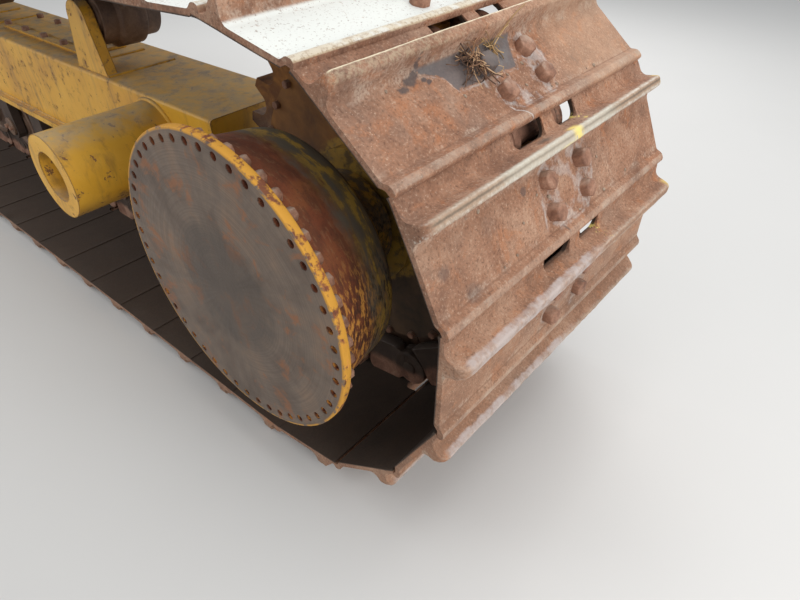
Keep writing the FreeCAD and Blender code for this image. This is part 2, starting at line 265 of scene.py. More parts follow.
class Value:
    # wraps a socket, so that masks are written as sums
    def __init__(self, paint, socket):
        self.paint = paint
        self.socket = socket

    def reckon(self, operation, *values):
        return self.paint.node("ShaderNodeMath", {"operation": operation}, dict(enumerate(values)))

    def size(self):
        return self.reckon("ABSOLUTE", self)

    def step(self, low, high):
        # 0 below low, 1 above high, smooth between
        settings = {"interpolation_type": "SMOOTHSTEP", "clamp": True}
        return self.paint.node("ShaderNodeMapRange", settings, {0: self, 1: low, 2: high, 3: 0.0, 4: 1.0})

    def near(self, middle, half):
        # 1 at middle, 0 at half away from it
        return 1 - (self - middle).size().step(0, half)


def reckoning(operation, swapped=False):
    if swapped:
        return lambda value, other: value.reckon(operation, other, value)
    return lambda value, other: value.reckon(operation, value, other)


for sign, operation in (("add", "ADD"), ("sub", "SUBTRACT"), ("mul", "MULTIPLY")):
    setattr(Value, "__%s__" % sign, reckoning(operation))
    setattr(Value, "__r%s__" % sign, reckoning(operation, swapped=True))
for word, operation in (("power", "POWER"), ("angle", "ARCTAN2"), ("most", "MAXIMUM"), ("least", "MINIMUM")):
    setattr(Value, word, reckoning(operation))


def apart(a, b):
    # the distance that two lengths at right angles make
    return (a.power(2.0) + b.power(2.0)).power(0.5)


class Paint:
    # one material's nodes
    def __init__(self, name, rough=0.8):
        self.material = bpy.data.materials.new(name)
        self.material.use_nodes = True
        self.tree = self.material.node_tree
        self.tree.nodes.clear()
        self.place = None
        self.surface = {"Roughness": rough}

    def node(self, kind, settings=None, sockets=None, out=0):
        item = self.tree.nodes.new(kind)
        for key, value in (settings or {}).items():
            if key == "stops":
                ramp = item.color_ramp
                while len(ramp.elements) < len(value):
                    ramp.elements.new(0.5)
                for element, (position, colour) in zip(ramp.elements, value):
                    element.position = position
                    element.color = (*colour, 1)
            else:
                setattr(item, key, value)
        for key, value in (sockets or {}).items():
            if isinstance(value, Value):
                self.tree.links.new(value.socket, item.inputs[key])
            elif isinstance(value, tuple) and len(value) == 3 and item.inputs[key].type == "RGBA":
                item.inputs[key].default_value = (*value, 1)
            else:
                item.inputs[key].default_value = value
        return Value(self, item.outputs[out]) if item.outputs else None

    def where(self, scale=None):
        if self.place is None:
            self.place = self.node("ShaderNodeTexCoord", out=3)
        if scale is None:
            return self.place
        return self.node("ShaderNodeMapping", {}, {"Vector": self.place, "Scale": scale})

    def attribute(self, name):
        return self.node("ShaderNodeAttribute", {"attribute_name": name}, out=1)

    def parts(self, vector):
        split = self.node("ShaderNodeSeparateXYZ", {}, {0: vector})
        sockets = split.socket.node.outputs
        return [Value(self, sockets[i]) for i in range(3)]

    def vector(self, x, y, z):
        return self.node("ShaderNodeCombineXYZ", {}, {0: x, 1: y, 2: z})

    def polar(self, centre=(0.0, 0.0)):
        # radius and place along an axis that runs across the track, and the angle, cut on the forward side
        x, y, z = self.parts(self.where())
        ahead, rise = x - centre[0], z - centre[1]
        radius = (ahead * ahead + rise * rise).power(0.5)
        return radius, y, rise.angle(0 - ahead), rise

    def noise(self, scale, detail=4.0, rough=0.55, warp=0.0, at=None):
        sockets = {"Vector": at or self.where(), "Scale": scale, "Detail": detail, "Roughness": rough}
        sockets["Distortion"] = warp
        return self.node("ShaderNodeTexNoise", {}, sockets)

    def specks(self, scale):
        return self.node("ShaderNodeTexVoronoi", {}, {"Vector": self.where(), "Scale": scale})

    def mix(self, factor, a, b, how="MIX"):
        settings = {"data_type": "RGBA", "blend_type": how}
        return self.node("ShaderNodeMix", settings, {0: factor, 6: a, 7: b}, out=2)

    def ramp(self, factor, stops):
        return self.node("ShaderNodeValToRGB", {"stops": stops}, {0: factor})

    def bump(self, height, distance, strength):
        return self.node("ShaderNodeBump", {}, {"Strength": strength, "Distance": distance, "Height": height})

    def finish(self, **surface):
        sockets = {**self.surface, **{key.replace("_", " "): value for key, value in surface.items()}}
        shader = self.node("ShaderNodeBsdfPrincipled", {}, sockets)
        self.node("ShaderNodeOutputMaterial", {}, {0: shader})
        return self.material


# finishes

def rustBase(paint, deep, middle, light, scale=9.0):
    # three tones of rust in patches, under a fine grain
    patches = paint.noise(scale, 6.0, 0.62, 0.4)
    grain = paint.noise(230.0, 3.0, 0.7)
    tones = paint.ramp(patches, [(0.3, deep), (0.5, middle), (0.7, light)])
    shade = (grain - 0.5) * 0.9 + 0.5
    return paint.mix(0.55, tones, paint.ramp(shade, [(0.2, (0.25,) * 3), (0.8, (0.78,) * 3)]),
        "OVERLAY"), patches, grain


def shoeFinish(muddy, chipped):
    # muddy and chipped are the numbers of the shoes that carry the mud film and the old paint
    paint = Paint("shoeRust", rough=0.86)
    look = {
        "deep": (0.15, 0.066, 0.036),
        "middle": (0.285, 0.138, 0.078),
        "light": (0.4, 0.235, 0.15),
        "orange": (0.42, 0.15, 0.052),
        "grey": (0.215, 0.148, 0.112),
        "dust": (0.5, 0.43, 0.345),
        "pale": (0.64, 0.65, 0.61),
        "olive": (0.4, 0.35, 0.255),
        "groove": (0.095, 0.07, 0.046),
        "cream": (0.72, 0.66, 0.52),
        "mud": (0.5, 0.47, 0.445),
        "dark": (0.055, 0.042, 0.04),
        "film": (0.088, 0.086, 0.09),
        "crust": (0.56, 0.5, 0.42),
        "chalk": (0.54, 0.51, 0.43),
        "lilac": (0.44, 0.375, 0.35),
        "yellow": (0.78, 0.61, 0.17),
    }
    colour, patches, grain = rustBase(paint, look["deep"], look["middle"], look["light"])
    s, h, number = paint.parts(paint.attribute("link"))
    x, y, z = paint.parts(paint.where())
    across = y - middleY
    coarse = paint.noise(26.0, 5.0, 0.65)
    wander = paint.noise(11.0, 4.0, 0.6)
    ragged = paint.noise(75.0, 4.0, 0.65)
    blotch = paint.noise(5.5, 3.0, 0.55)
    speckle = paint.noise(190.0, 3.0, 0.65)
    gravel = paint.noise(130.0, 4.0, 0.7)
    up = paint.parts(paint.node("ShaderNodeNewGeometry", out=1))[2]
    isMuddy = number.near(muddy, 0.5)
    isChipped = number.near(chipped, 0.5)
    drift, fray, lump = wander - 0.5, ragged - 0.5, coarse - 0.5
    edgeNoise = drift * 0.034 + fray * 0.016

    # broad greyer and warmer areas, orange blooms, dark smudges, light and dark specks
    colour = paint.mix(blotch.step(0.48, 0.7) * 0.4, colour, look["grey"])
    bloom = paint.noise(17.0, 5.0, 0.7, 0.6).step(0.52, 0.72) * 0.6
    warmS, warmY = s - 0.035, across - 0.27
    warm = (warmS * warmS + warmY * warmY * 0.6).power(0.5) + edgeNoise
    bloom = bloom.most(isMuddy * warm.step(0.075, 0.03) * coarse.step(0.4, 0.62) * 0.55)
    colour = paint.mix(bloom, colour, look["orange"])
    smudge = paint.noise(8.0, 4.0, 0.6, 1.0).step(0.66, 0.74) * coarse.step(0.4, 0.62)
    colour = paint.mix(smudge * 0.7, colour, look["dark"])
    colour = paint.mix(speckle.step(0.54, 0.74) * 0.6, colour, (0.52, 0.37, 0.26))
    colour = paint.mix(speckle.step(0.47, 0.3) * 0.7, colour, (0.095, 0.044, 0.026))
    mottle = paint.noise(48.0, 4.0, 0.6)
    colour = paint.mix(mottle.step(0.5, 0.34) * 0.24, colour, (0.13, 0.062, 0.036))
    colour = paint.mix(mottle.step(0.54, 0.7) * 0.16, colour, (0.46, 0.3, 0.2))
    # lower shoes painted paler, partly dust and partly painted light from below; the muddy shoe is also paler
    # towards its outer end
    paleDustAndLowLight = z.step(0.18, -0.06) * 0.1
    paleDustAndLowLight = paleDustAndLowLight.most(isMuddy * across.step(-0.08, -0.24) * 0.3)
    colour = paint.mix(paleDustAndLowLight * (0.5 + coarse), colour, (0.56, 0.37, 0.24))
    # painted shade: the shoes darken towards the hull side and along the bottom run
    hullSideAndLowShade = (across.step(0.02, 0.26) * 0.15).most(z.step(-0.05, -0.25) * 0.22)
    colour = paint.mix(hullSideAndLowShade, colour, (0.11, 0.06, 0.038))
    flecks = paint.specks(260.0).step(0.26, 0.1) * ragged.step(0.5, 0.62)
    colour = paint.mix(flecks * 0.55, colour, (0.62, 0.48, 0.36))
    pits = paint.specks(420.0).step(0.3, 0.08) * paint.noise(60.0, 2.0).step(0.5, 0.62)
    colour = paint.mix(pits * 0.6, colour, look["dark"])
    # painted shade: the shoes' undersides and the walls of the front notches, under the lip ahead, are painted near
    # black
    shade = (h + lump * 0.002).step(0.065, 0.0618) * s.step(0.108, 0.098)
    notchWallShadow = (
        s.step(-0.083, -0.086) * s.step(-0.1215, -0.1195)
        * h.step(0.07, 0.067) * across.size().step(0.125, 0.115)
    )
    colour = paint.mix(shade.most(notchWallShadow) * 0.93, colour, (0.026, 0.017, 0.011))

    # dust in the hollow before the rear lip and at the grouser's foot; the top run's up-facing plate is painted
    # pale, partly dust and partly a painted sheen of sky
    crease = s.near(0.082, 0.012) * coarse.step(0.46, 0.7) * h.step(0.07, 0.073)
    foot = s.near(-0.046, 0.02) * coarse.step(0.4, 0.66) * h.step(0.07, 0.073)
    dust = (crease * 0.4).most(foot * 0.45) * (0.3 + 0.7 * speckle.step(0.35, 0.6))
    colour = paint.mix(dust.least(0.88), colour, look["dust"])
    dustAndSkySheen = (
        up.step(0.45, 0.7) * x.step(0.8, 0.3).most(0.35)
        * z.step(0.44, 0.456) * h.step(0.09, 0.088) * h.step(0.07, 0.072)
    )
    dustAndSkySheen = dustAndSkySheen * s.step(-0.05, -0.04) * (s + fray * 0.006).step(0.126, 0.121)
    # the pale is broken by specks and kept off a thin line at the crease before the lip, which stays dark as
    # painted shade
    specks = ragged.step(0.38, 0.31).most(speckle.step(0.4, 0.33)).most(s.near(0.0865, 0.0024) * 0.7)
    colour = paint.mix(dustAndSkySheen * (1.0 - specks * 0.55), colour, look["pale"])
    # the top run's rear lip is painted cream where it faces up, partly dust and partly painted highlight, with
    # brown specks
    lipDustAndHighlight = (
        up.step(0.1, 0.4) * x.step(0.1, -0.02)
        * s.step(0.097, 0.103) * h.step(0.07, 0.072) * z.step(0.42, 0.43)
    )
    lipDustAndHighlight = lipDustAndHighlight * (0.3 + 0.7 * coarse.step(0.4, 0.58))
    colour = paint.mix(lipDustAndHighlight * 0.75, colour, (0.52, 0.43, 0.29))
    colour = paint.mix(lipDustAndHighlight * gravel.step(0.5, 0.58) * 0.5, colour, (0.2, 0.1, 0.05))

    # dried mud round the bolts, with a pale tide line
    splashS, splashY = s - 0.014, across + 0.02
    splash = (splashS * splashS + splashY * splashY * 0.75).power(0.5) + edgeNoise * 1.3
    isle = apart(s - 0.03, across + 0.012) + edgeNoise
    cover = splash.step(0.094, 0.078) * coarse.step(0.44, 0.58) * isle.step(0.02, 0.032) * 0.55
    tide = splash.near(0.084, 0.007) * coarse.step(0.4, 0.56)
    ring = None
    for boltS in (-0.0115, 0.0503):
        for boltY in (-0.074, 0.0515):
            away = apart(s - boltS, across - boltY) + edgeNoise * 0.5
            here = away.near(0.023, 0.008)
            ring = here if ring is None else ring.most(here)
    ring = ring * coarse.step(0.44, 0.58)
    mud = cover.most(tide * 0.75).most(ring * 0.85) * h.step(0.08, 0.0755) * h.step(0.07, 0.072)
    mud = mud * (0.45 + 0.55 * isMuddy + 0.35 * isChipped)
    colour = paint.mix(mud * (0.65 + 0.7 * (speckle - 0.35)), colour, look["mud"])
    run = (across - 0.116 + s * 0.65 + fray * 0.01).near(0.0, 0.0032) * s.step(0.074, 0.08)
    second = (across - 0.071 - s * 0.115 + fray * 0.012).near(0.0, 0.0052) * s.near(0.05, 0.036)
    run = (isMuddy * run * 0.75).most(isChipped * second * (0.35 + 0.5 * coarse))
    colour = paint.mix(run, colour, look["mud"])

    # one shoe has a smooth grey film beside its bolts, smears left of it, and a streak on the next
    ragS, ragY = s + edgeNoise * 0.9, across + edgeNoise
    lower = (0.0395 - ragY * 0.38).most((0.162 - ragY) * 2.2 - 0.02).least(0.014 + drift * 0.05)
    margin = (lower - ragS).least(ragY - ragS * 0.55 + 0.03).least(ragS + 0.064)
    inside = isMuddy * margin.step(-0.001, 0.004) * h.step(0.086, 0.079)
    colour = paint.mix(inside * (0.78 + 0.25 * (blotch - 0.3)), colour, look["film"])
    paleEdge = (
        isMuddy * margin.near(-0.003, 0.004)
        * coarse.step(0.4, 0.55) * h.step(0.08, 0.076) * s.step(-0.04, -0.02)
    )
    colour = paint.mix(paleEdge * 0.45, colour, look["mud"])
    smear = None
    for atS, atY, size in (
        (-0.042, 0.224, 0.0085), (-0.035, 0.237, 0.011), (-0.0255, 0.26, 0.0095),
        (-0.0295, 0.207, 0.006), (-0.024, 0.199, 0.0055), (-0.052, 0.218, 0.0055),
    ):
        away = apart(s - atS, (across - atY) * 0.62) + fray * 0.016
        spot = away.step(size, size * 0.45)
        smear = spot if smear is None else smear.most(spot)
    smear = smear * isMuddy
    blob = apart(s + 0.0176, across - 0.1214).step(0.011, 0.006)
    scrape = (across - 0.0536 + s * 0.284).near(0.0, 0.005) * s.near(0.094, 0.016)
    smear = smear.most(isChipped * scrape * 0.8).most(isChipped * blob * 0.7)
    for atS, atY, size, share in ((0.019, 0.37, 0.015, 0.5),
        (0.078, 0.32, 0.02, 0.42), (-0.002, 0.236, 0.026, 0.22)):
        away = apart(s - atS, (across - atY) * 0.8) + edgeNoise * 0.6
        smear = smear.most(isChipped * away.step(size, size * 0.2) * share)
    colour = paint.mix(smear * 0.8, colour, (0.06, 0.052, 0.052))

    # grousers: a crust of old mud on the tip's two edges, an olive hollow between them
    later = number.step(chipped + 0.4, chipped + 0.9) * number.step(chipped + 3.6, chipped + 3.1)
    weak = 0.3 + 0.62 * isChipped
    land = (h + fray * 0.008).step(0.106, 0.113) * (s + fray * 0.006).step(-0.056, -0.06)
    land = land * (1 - isMuddy) * across.size().step(0.412, 0.392)
    whiter = isChipped * (across + lump * 0.12).step(0.29, 0.17) * across.step(-0.24, -0.12)
    hollow = paint.mix(whiter * 0.55, look["olive"], look["chalk"])
    colour = paint.mix(land * weak * (0.45 + 0.55 * whiter) * (0.85 + 0.5 * (gravel - 0.5)), colour, hollow)
    dull = land * (s + fray * 0.004).near(-0.0705, 0.0042) * (1 - whiter * 0.35)
    colour = paint.mix(dull * weak * 0.8, colour, look["groove"])
    foreEdge = (s + fray * 0.005).near(-0.0775, 0.003) * h.step(0.1, 0.108)
    rearEdge = (s + fray * 0.01 + (h - 0.112).least(0.0) * 0.5).near(-0.0612, 0.0055) * h.step(0.098, 0.106)
    broken = 0.2 + 0.45 * coarse.step(0.38, 0.6) + 0.35 * gravel.step(0.46, 0.56)
    fade = 0.45 + 0.55 * across.step(0.36, 0.16)
    crust = foreEdge.most(rearEdge) * broken * fade * (1 - isMuddy)
    colour = paint.mix(crust * (weak + 0.1), colour, paint.mix(whiter, look["crust"], look["chalk"]))
    crumbs = (s + lump * 0.03).near(-0.054, 0.016) * h.step(0.072, 0.076) * gravel.step(0.52, 0.6)
    colour = paint.mix(crumbs * isChipped * across.step(-0.05, 0.05) * 0.65, colour, look["crust"])
    band = (h + lump * 0.01 + fray * 0.008).step(0.0985, 0.105) * s.step(-0.056, -0.06) * later
    band = band * (across + lump * 0.12).step(-0.1, 0.02) * across.step(0.405, 0.385)
    colour = paint.mix(band * (0.3 + 0.55 * coarse.step(0.36, 0.6) + 0.6 * (gravel - 0.5)),
        colour, look["lilac"])
    mossy = isMuddy * (h + fray * 0.01).step(0.107, 0.1125) * s.step(-0.054, -0.058) * gravel.step(0.38, 0.64)
    colour = paint.mix(mossy * (0.12 + 0.34 * across.step(0.02, 0.25)), colour, (0.43, 0.35, 0.23))
    # painted highlight: a cream line along the front edge of the muddy shoe's grouser tip, where the roughness is
    # also lowered
    frontEdgeHighlight = (s + fray * 0.004).near(-0.077, 0.0034) * h.step(0.111, 0.115) * isMuddy
    tipHighlight = frontEdgeHighlight * coarse.step(0.22, 0.42) * 0.9
    colour = paint.mix(tipHighlight, colour, (0.7, 0.61, 0.42))
    # the rear lip's top is painted lighter in dust colour, partly dust and partly painted highlight; the crease at
    # the lip's foot is painted darker, as painted shade
    lip = h.step(0.0825, 0.0845) * s.step(0.09, 0.096)
    colour = paint.mix(lip * (0.14 + 0.22 * coarse.step(0.46, 0.66)), colour, look["dust"])
    under = (s + fray * 0.002).near(0.0865, 0.003) * h.step(0.0725, 0.0735)
    colour = paint.mix(under * 0.45, colour, look["deep"])
    worn = (land * weak).most(tipHighlight)

    # old machine paint clings to the grouser of one shoe and to the far ends
    under = (across - 0.046 + edgeNoise).near(0.0, 0.03) * s.step(-0.068, -0.074) * h.near(0.09, 0.014)
    colour = paint.mix(isChipped * under * 0.75, colour, (0.07, 0.058, 0.048))
    patch = (across + 0.03 + edgeNoise).near(0.0, 0.024) * s.step(-0.055, -0.058) * h.step(0.094, 0.104)
    trail = (across - 0.01 + edgeNoise).near(0.0, 0.034) * s.near(-0.0585, 0.0055) * h.step(0.104, 0.112)
    patch = patch * ragged.step(0.36, 0.44)
    ends = number.near(chipped + 0.5, 1.0).step(0.2, 0.4) * across.step(-0.392, -0.41) * h.step(0.085, 0.1)
    chips = (
        number.near(chipped + 0.5, 1.0).step(0.2, 0.4)
        * (across + 0.103).near(0.0, 0.016) * s.near(-0.084, 0.012)
    )
    chips = chips * ragged.step(0.54, 0.6)
    yellow = (isChipped * patch).most(ends * coarse.step(0.38, 0.46) * 0.55).most(chips)
    colour = paint.mix(yellow * 0.92, colour, look["yellow"])
    colour = paint.mix(isChipped * trail * 0.8 * (1 - patch), colour, (0.74, 0.64, 0.33))

    height = patches * 0.45 + coarse * 0.3 + speckle * 0.2 + grain * 0.14
    calm = isMuddy * across.near(0.1, 0.07) * s.near(-0.02, 0.03)
    height = height * (1 - calm * 0.6)
    rough = 0.93 - worn * 0.25 - speckle * 0.1 - inside * 0.2
    return paint.finish(Base_Color=colour, Roughness=rough, Normal=paint.bump(height, 0.003, 0.7))


def steelFinish(name, deep, middle, light, rough=0.8, dusty=0.3, scale=14.0, stained=None, yellowBounceAbove=None):
    # rusty steel in three tones, with dust where it faces up
    paint = Paint(name, rough=rough)
    colour, patches, grain = rustBase(paint, deep, middle, light, scale)
    coarse = paint.noise(34.0, 5.0, 0.65)
    up = paint.parts(paint.node("ShaderNodeNewGeometry", out=1))[2]
    dust = up.step(0.55, 0.98) * coarse.step(0.3, 0.7) * dusty
    colour = paint.mix(dust, colour, (0.46, 0.39, 0.31))
    x, y, z = paint.parts(paint.where())
    # painted light: above that height the steel is tinted warm orange, standing in for light reflected from the
    # yellow paint
    if yellowBounceAbove is not None:
        warm = (z + (coarse - 0.5) * 0.1).step(yellowBounceAbove, yellowBounceAbove + 0.12)
        colour = paint.mix(warm * 0.9, colour,
            paint.mix(patches.step(0.35, 0.65), (0.15, 0.05, 0.008), (0.38, 0.15, 0.02)))
    if stained:
        away = ((x - stained.x).power(2.0)
            + (y - stained.y).power(2.0) + (z - stained.z).power(2.0)).power(0.5)
        colour = paint.mix(away.step(0.04, 0.026) * 0.85, colour, (0.09, 0.082, 0.08))
    height = patches * 0.5 + coarse * 0.3 + grain * 0.2
    surface = rough + 0.1 - grain * 0.2
    return paint.finish(Base_Color=colour, Roughness=surface, Normal=paint.bump(height, 0.002, 0.6))


def chainFinish():
    # rusty on the outside of the loop, painted dark inside it as painted shade, and greasy
    paint = Paint("chainSteel", rough=0.7)
    colour, patches, grain = rustBase(paint, (0.115, 0.052, 0.032),
        (0.225, 0.108, 0.066), (0.33, 0.19, 0.125), 16.0)
    s, h = paint.parts(paint.attribute("link"))[:2]
    coarse = paint.noise(34.0, 5.0, 0.65)
    # painted shade: the inner side of the loop is painted near black
    inner = (h + (coarse - 0.5) * 0.03).step(0.026, 0.0)
    colour = paint.mix(inner * 0.88, colour, (0.026, 0.018, 0.012))
    grease = s.near(0.1016, 0.05).most(s.near(-0.1016, 0.05)) * coarse.step(0.52, 0.62)
    colour = paint.mix(grease * 0.55, colour, (0.02, 0.014, 0.01))
    rubbed = h.step(-0.05, -0.0535)
    colour = paint.mix(rubbed * 0.8, colour, (0.2, 0.17, 0.15))
    height = patches * 0.5 + coarse * 0.3 + grain * 0.2
    rough = 0.8 - rubbed * 0.35 - grease * 0.3
    return paint.finish(Base_Color=colour, Roughness=rough,
        Metallic=rubbed * 0.6, Normal=paint.bump(height, 0.002, 0.6))


def driveFinish():
    # old paint worn to rust in streaks that run round the drum, grey and olive grime towards its rim
    paint = Paint("drivePaint", rough=0.6)
    radius, y, angle, rise = paint.polar()
    streaks = paint.noise(1.0, 6.0, 0.62, at=paint.vector(radius * 42.0, y * 42.0, angle * 3.6))
    fine = paint.noise(1.0, 4.0, 0.65, at=paint.vector(radius * 130.0, y * 130.0, angle * 11.0))
    patches = paint.noise(9.0, 5.0, 0.6, 0.4)
    coarse = paint.noise(30.0, 5.0, 0.65)
    grain = paint.noise(230.0, 3.0, 0.7)
    colour = paint.ramp(patches, [(0.32, (0.11, 0.03, 0.013)),
        (0.5, (0.23, 0.062, 0.024)), (0.7, (0.31, 0.105, 0.034))])
    colour = paint.mix(streaks.step(0.46, 0.6) * 0.48, colour, (0.085, 0.036, 0.018))
    colour = paint.mix(fine.step(0.54, 0.66) * 0.35, colour, (0.33, 0.17, 0.08))
    colour = paint.mix(grain.step(0.46, 0.3) * 0.5, colour, (0.05, 0.022, 0.012))
    rimward = (y + (streaks - 0.5) * 0.12 + (coarse - 0.5) * 0.05).step(-0.105, -0.165)
    grime = paint.mix(streaks.step(0.4, 0.6), (0.15, 0.136, 0.096), (0.26, 0.185, 0.07))
    colour = paint.mix(rimward * 0.85, colour, grime)
    old = rimward * streaks.step(0.51, 0.6) * coarse.step(0.38, 0.5)
    colour = paint.mix(old * 0.85, colour, (0.62, 0.37, 0.06))
    low = (rise + (coarse - 0.5) * 0.12).step(0.16, 0.02)
    rust = low * fine.step(0.49, 0.58) * (1 - rimward * 0.7)
    colour = paint.mix(rust * 0.92, colour, (0.7, 0.31, 0.055))
    colour = paint.mix(low * fine.step(0.47, 0.38) * 0.8, colour, (0.045, 0.02, 0.012))
    edge = y.step(-0.2085, -0.2145) * radius.step(0.235, 0.245)
    colour = paint.mix(edge * 0.8, colour, (0.03, 0.03, 0.024))

    # the flange: turned steel on its face, paint left on its rim
    face = y.step(-0.003, -0.001)
    turned = paint.noise(1.0, 3.0, 0.5, at=paint.vector(radius * 300.0, 0.0, angle * 0.6))
    plain = paint.ramp(patches, [(0.3, (0.115, 0.082, 0.062)),
        (0.52, (0.185, 0.138, 0.105)), (0.72, (0.25, 0.165, 0.11))])
    plain = paint.mix(turned.step(0.42, 0.6) * 0.3, plain, (0.09, 0.07, 0.058))
    bloom = paint.noise(13.0, 5.0, 0.7, 0.6).step(0.53, 0.66)
    plain = paint.mix(bloom * 0.7, plain, (0.3, 0.12, 0.048))
    oil = (radius + (coarse - 0.5) * 0.09).step(0.17, 0.12)
    plain = paint.mix(oil * 0.55, plain, (0.05, 0.038, 0.03))
    colour = paint.mix(face, colour, plain)
    rim = radius.step(0.329, 0.333) * coarse.step(0.4, 0.5)
    colour = paint.mix(rim * 0.9, colour, (0.62, 0.3, 0.03))
    height = patches * 0.4 + coarse * 0.35 + fine * 0.25 + grain * 0.15 + turned * face * 0.3
    rough = 0.72 - face * 0.12 + grain * 0.15 - oil * face * 0.15
    return paint.finish(Base_Color=colour, Roughness=rough,
        Metallic=face * 0.35, Normal=paint.bump(height, 0.0024, 0.6))


def hubFinish():
    # old yellow paint on the hub, grease and rust on the plate round it
    paint = Paint("hubPaint", rough=0.6)
    radius, y, angle, rise = paint.polar()
    patches = paint.noise(8.0, 5.0, 0.6, 0.4)
    coarse = paint.noise(32.0, 5.0, 0.65)
    streaks = paint.noise(1.0, 5.0, 0.62, at=paint.vector(radius * 50.0, y * 50.0, angle * 4.0))
    colour = paint.ramp(patches, [(0.32, (0.23, 0.125, 0.022)),
        (0.52, (0.39, 0.22, 0.03)), (0.72, (0.54, 0.32, 0.048))])
    colour = paint.mix(coarse.step(0.48, 0.64) * 0.75, colour, (0.07, 0.045, 0.024))
    colour = paint.mix(streaks.step(0.52, 0.66) * 0.5, colour, (0.1, 0.08, 0.052))
    plate = (radius + (coarse - 0.5) * 0.05).step(0.176, 0.196)
    rust = paint.ramp(patches, [(0.3, (0.022, 0.013, 0.009)),
        (0.55, (0.06, 0.032, 0.019)), (0.75, (0.12, 0.062, 0.036))])
    # painted light: the plate's upper part is tinted warm orange, standing in for light reflected from the yellow
    # paint
    warm = paint.ramp(patches, [(0.3, (0.14, 0.048, 0.008)),
        (0.55, (0.28, 0.105, 0.014)), (0.75, (0.42, 0.175, 0.025))])
    rust = paint.mix(rise.step(0.06, 0.16) * 0.85, rust, warm)
    colour = paint.mix(plate * 0.94, colour, rust)
    height = patches * 0.4 + coarse * 0.4 + streaks * 0.2
    return paint.finish(Base_Color=colour,
        Roughness=0.62 + coarse * 0.2, Normal=paint.bump(height, 0.002, 0.6))


def yellowFinish():
    # machine paint: faded and dirty, chipped to rust along edges and in spots, dust on what faces up
    paint = Paint("yellowPaint", rough=0.5)
    patches = paint.noise(4.0, 5.0, 0.6, 0.3)
    coarse = paint.noise(24.0, 6.0, 0.68)
    ragged = paint.noise(85.0, 5.0, 0.7)
    grain = paint.noise(260.0, 3.0, 0.7)
    drips = paint.noise(1.0, 5.0, 0.65, at=paint.where(scale=(26.0, 26.0, 3.2)))
    up = paint.parts(paint.node("ShaderNodeNewGeometry", out=1))[2]
    colour = paint.ramp(patches, [(0.3, (0.56, 0.27, 0.022)),
        (0.52, (0.7, 0.36, 0.026)), (0.74, (0.78, 0.44, 0.05))])
    colour = paint.mix(drips.step(0.5, 0.72) * 0.55, colour, (0.25, 0.13, 0.036))
    grime = coarse.step(0.5, 0.66) * patches.step(0.62, 0.42)
    colour = paint.mix(grime * 0.65, colour, (0.15, 0.095, 0.05))
    sharp = paint.node("ShaderNodeBevel", {"samples": 4}, {0: 0.006})
    turned = paint.node("ShaderNodeVectorMath", {"operation": "DOT_PRODUCT"},
        {0: sharp, 1: paint.node("ShaderNodeNewGeometry", out=1)}, out=1)
    edges = (turned + (ragged - 0.5) * 0.1).step(0.985, 0.9)
    spots = (coarse * 0.55 + ragged * 0.45).step(0.585, 0.605)
    chips = edges.most(spots)
    rust = paint.ramp(ragged, [(0.3, (0.07, 0.03, 0.018)),
        (0.55, (0.17, 0.07, 0.036)), (0.75, (0.27, 0.12, 0.06))])
    colour = paint.mix(chips * 0.92, colour, rust)
    dust = up.step(0.6, 0.98) * (coarse.step(0.34, 0.62) * 0.45 + 0.2)
    colour = paint.mix(dust, colour, (0.42, 0.345, 0.25))
    # faces that point down are painted darker, as painted shade
    under = up.step(-0.3, -0.9)
    colour = paint.mix(under * 0.55, colour, (0.09, 0.06, 0.036))
    height = coarse * 0.35 + ragged * 0.2 + grain * 0.12 - chips * 0.5 + grime * 0.2
    rough = 0.48 + dust * 0.5 + chips * 0.35 + grime * 0.2
    return paint.finish(Base_Color=colour,
        Roughness=rough.least(0.95), Normal=paint.bump(height, 0.0016, 0.6))


topPin = max(range(len(pins)), key=lambda i: (pins[i][1] > 0) * (1000 - abs(pins[i][0])))
finishes = {
    "shoe": shoeFinish(topPin + 1, topPin + 2),
    "bolt": steelFinish(
        "boltSteel", (0.13, 0.055, 0.032), (0.25, 0.12, 0.072), (0.36, 0.2, 0.13), 0.75, 0.5, 40.0,
        stained=linkMatrix(topPin + 1) @ Vector((-0.011, -0.0515, 0.084)),
    ),
    "chain": chainFinish(),
    "sprocket": steelFinish("sprocketSteel", (0.05, 0.026, 0.015),
        (0.11, 0.055, 0.03), (0.19, 0.11, 0.065), yellowBounceAbove=0.1),
    "yellow": yellowFinish(),
    "drive": driveFinish(),
    "hub": hubFinish(),
    "wheel": steelFinish("wheelSteel", (0.06, 0.03, 0.018),
        (0.12, 0.065, 0.038), (0.2, 0.12, 0.075), 0.65, 0.4),
}
print("scene: finishes made")


# track shoes

shoe = {
    "halfWidth": 0.415,
    "start": (-0.1226, 0.0585, 0.069),     # the leading lip's front: along the link, under side, upper side
    "lip": [(-0.116, 0.06, 0.0705), (-0.1085, 0.0608, 0.0716), (-0.101, 0.061, 0.072)],
    "front": [(-0.084, 0.061, 0.073)],
    "grouserFoot": (-0.084, -0.048),
    "grouserRise": 0.0428,
    "grouserTip": 0.0205,
    "grouserMiddle": -0.068,
    "endRound": 0.019,
    "tipRound": 0.0055,
    "plateEnd": 0.082,
    "plateLow": 0.061,
    "plateHigh": 0.074,
    "rear": [(0.0866, 0.061, 0.0745), (0.0905, 0.064, 0.0775),
        (0.095, 0.068, 0.0815), (0.099, 0.0704, 0.084)],
    "tail": [(0.104, 0.0706, 0.085), (0.11, 0.0702, 0.0846),
        (0.1145, 0.0694, 0.0825), (0.1168, 0.069, 0.079)],
    "notches": ((-0.11, -0.0085), (0.031, 0.11)),
    "notchEnd": -0.0845,
    "notchRound": 0.016,
    "foot": 0.015,
}


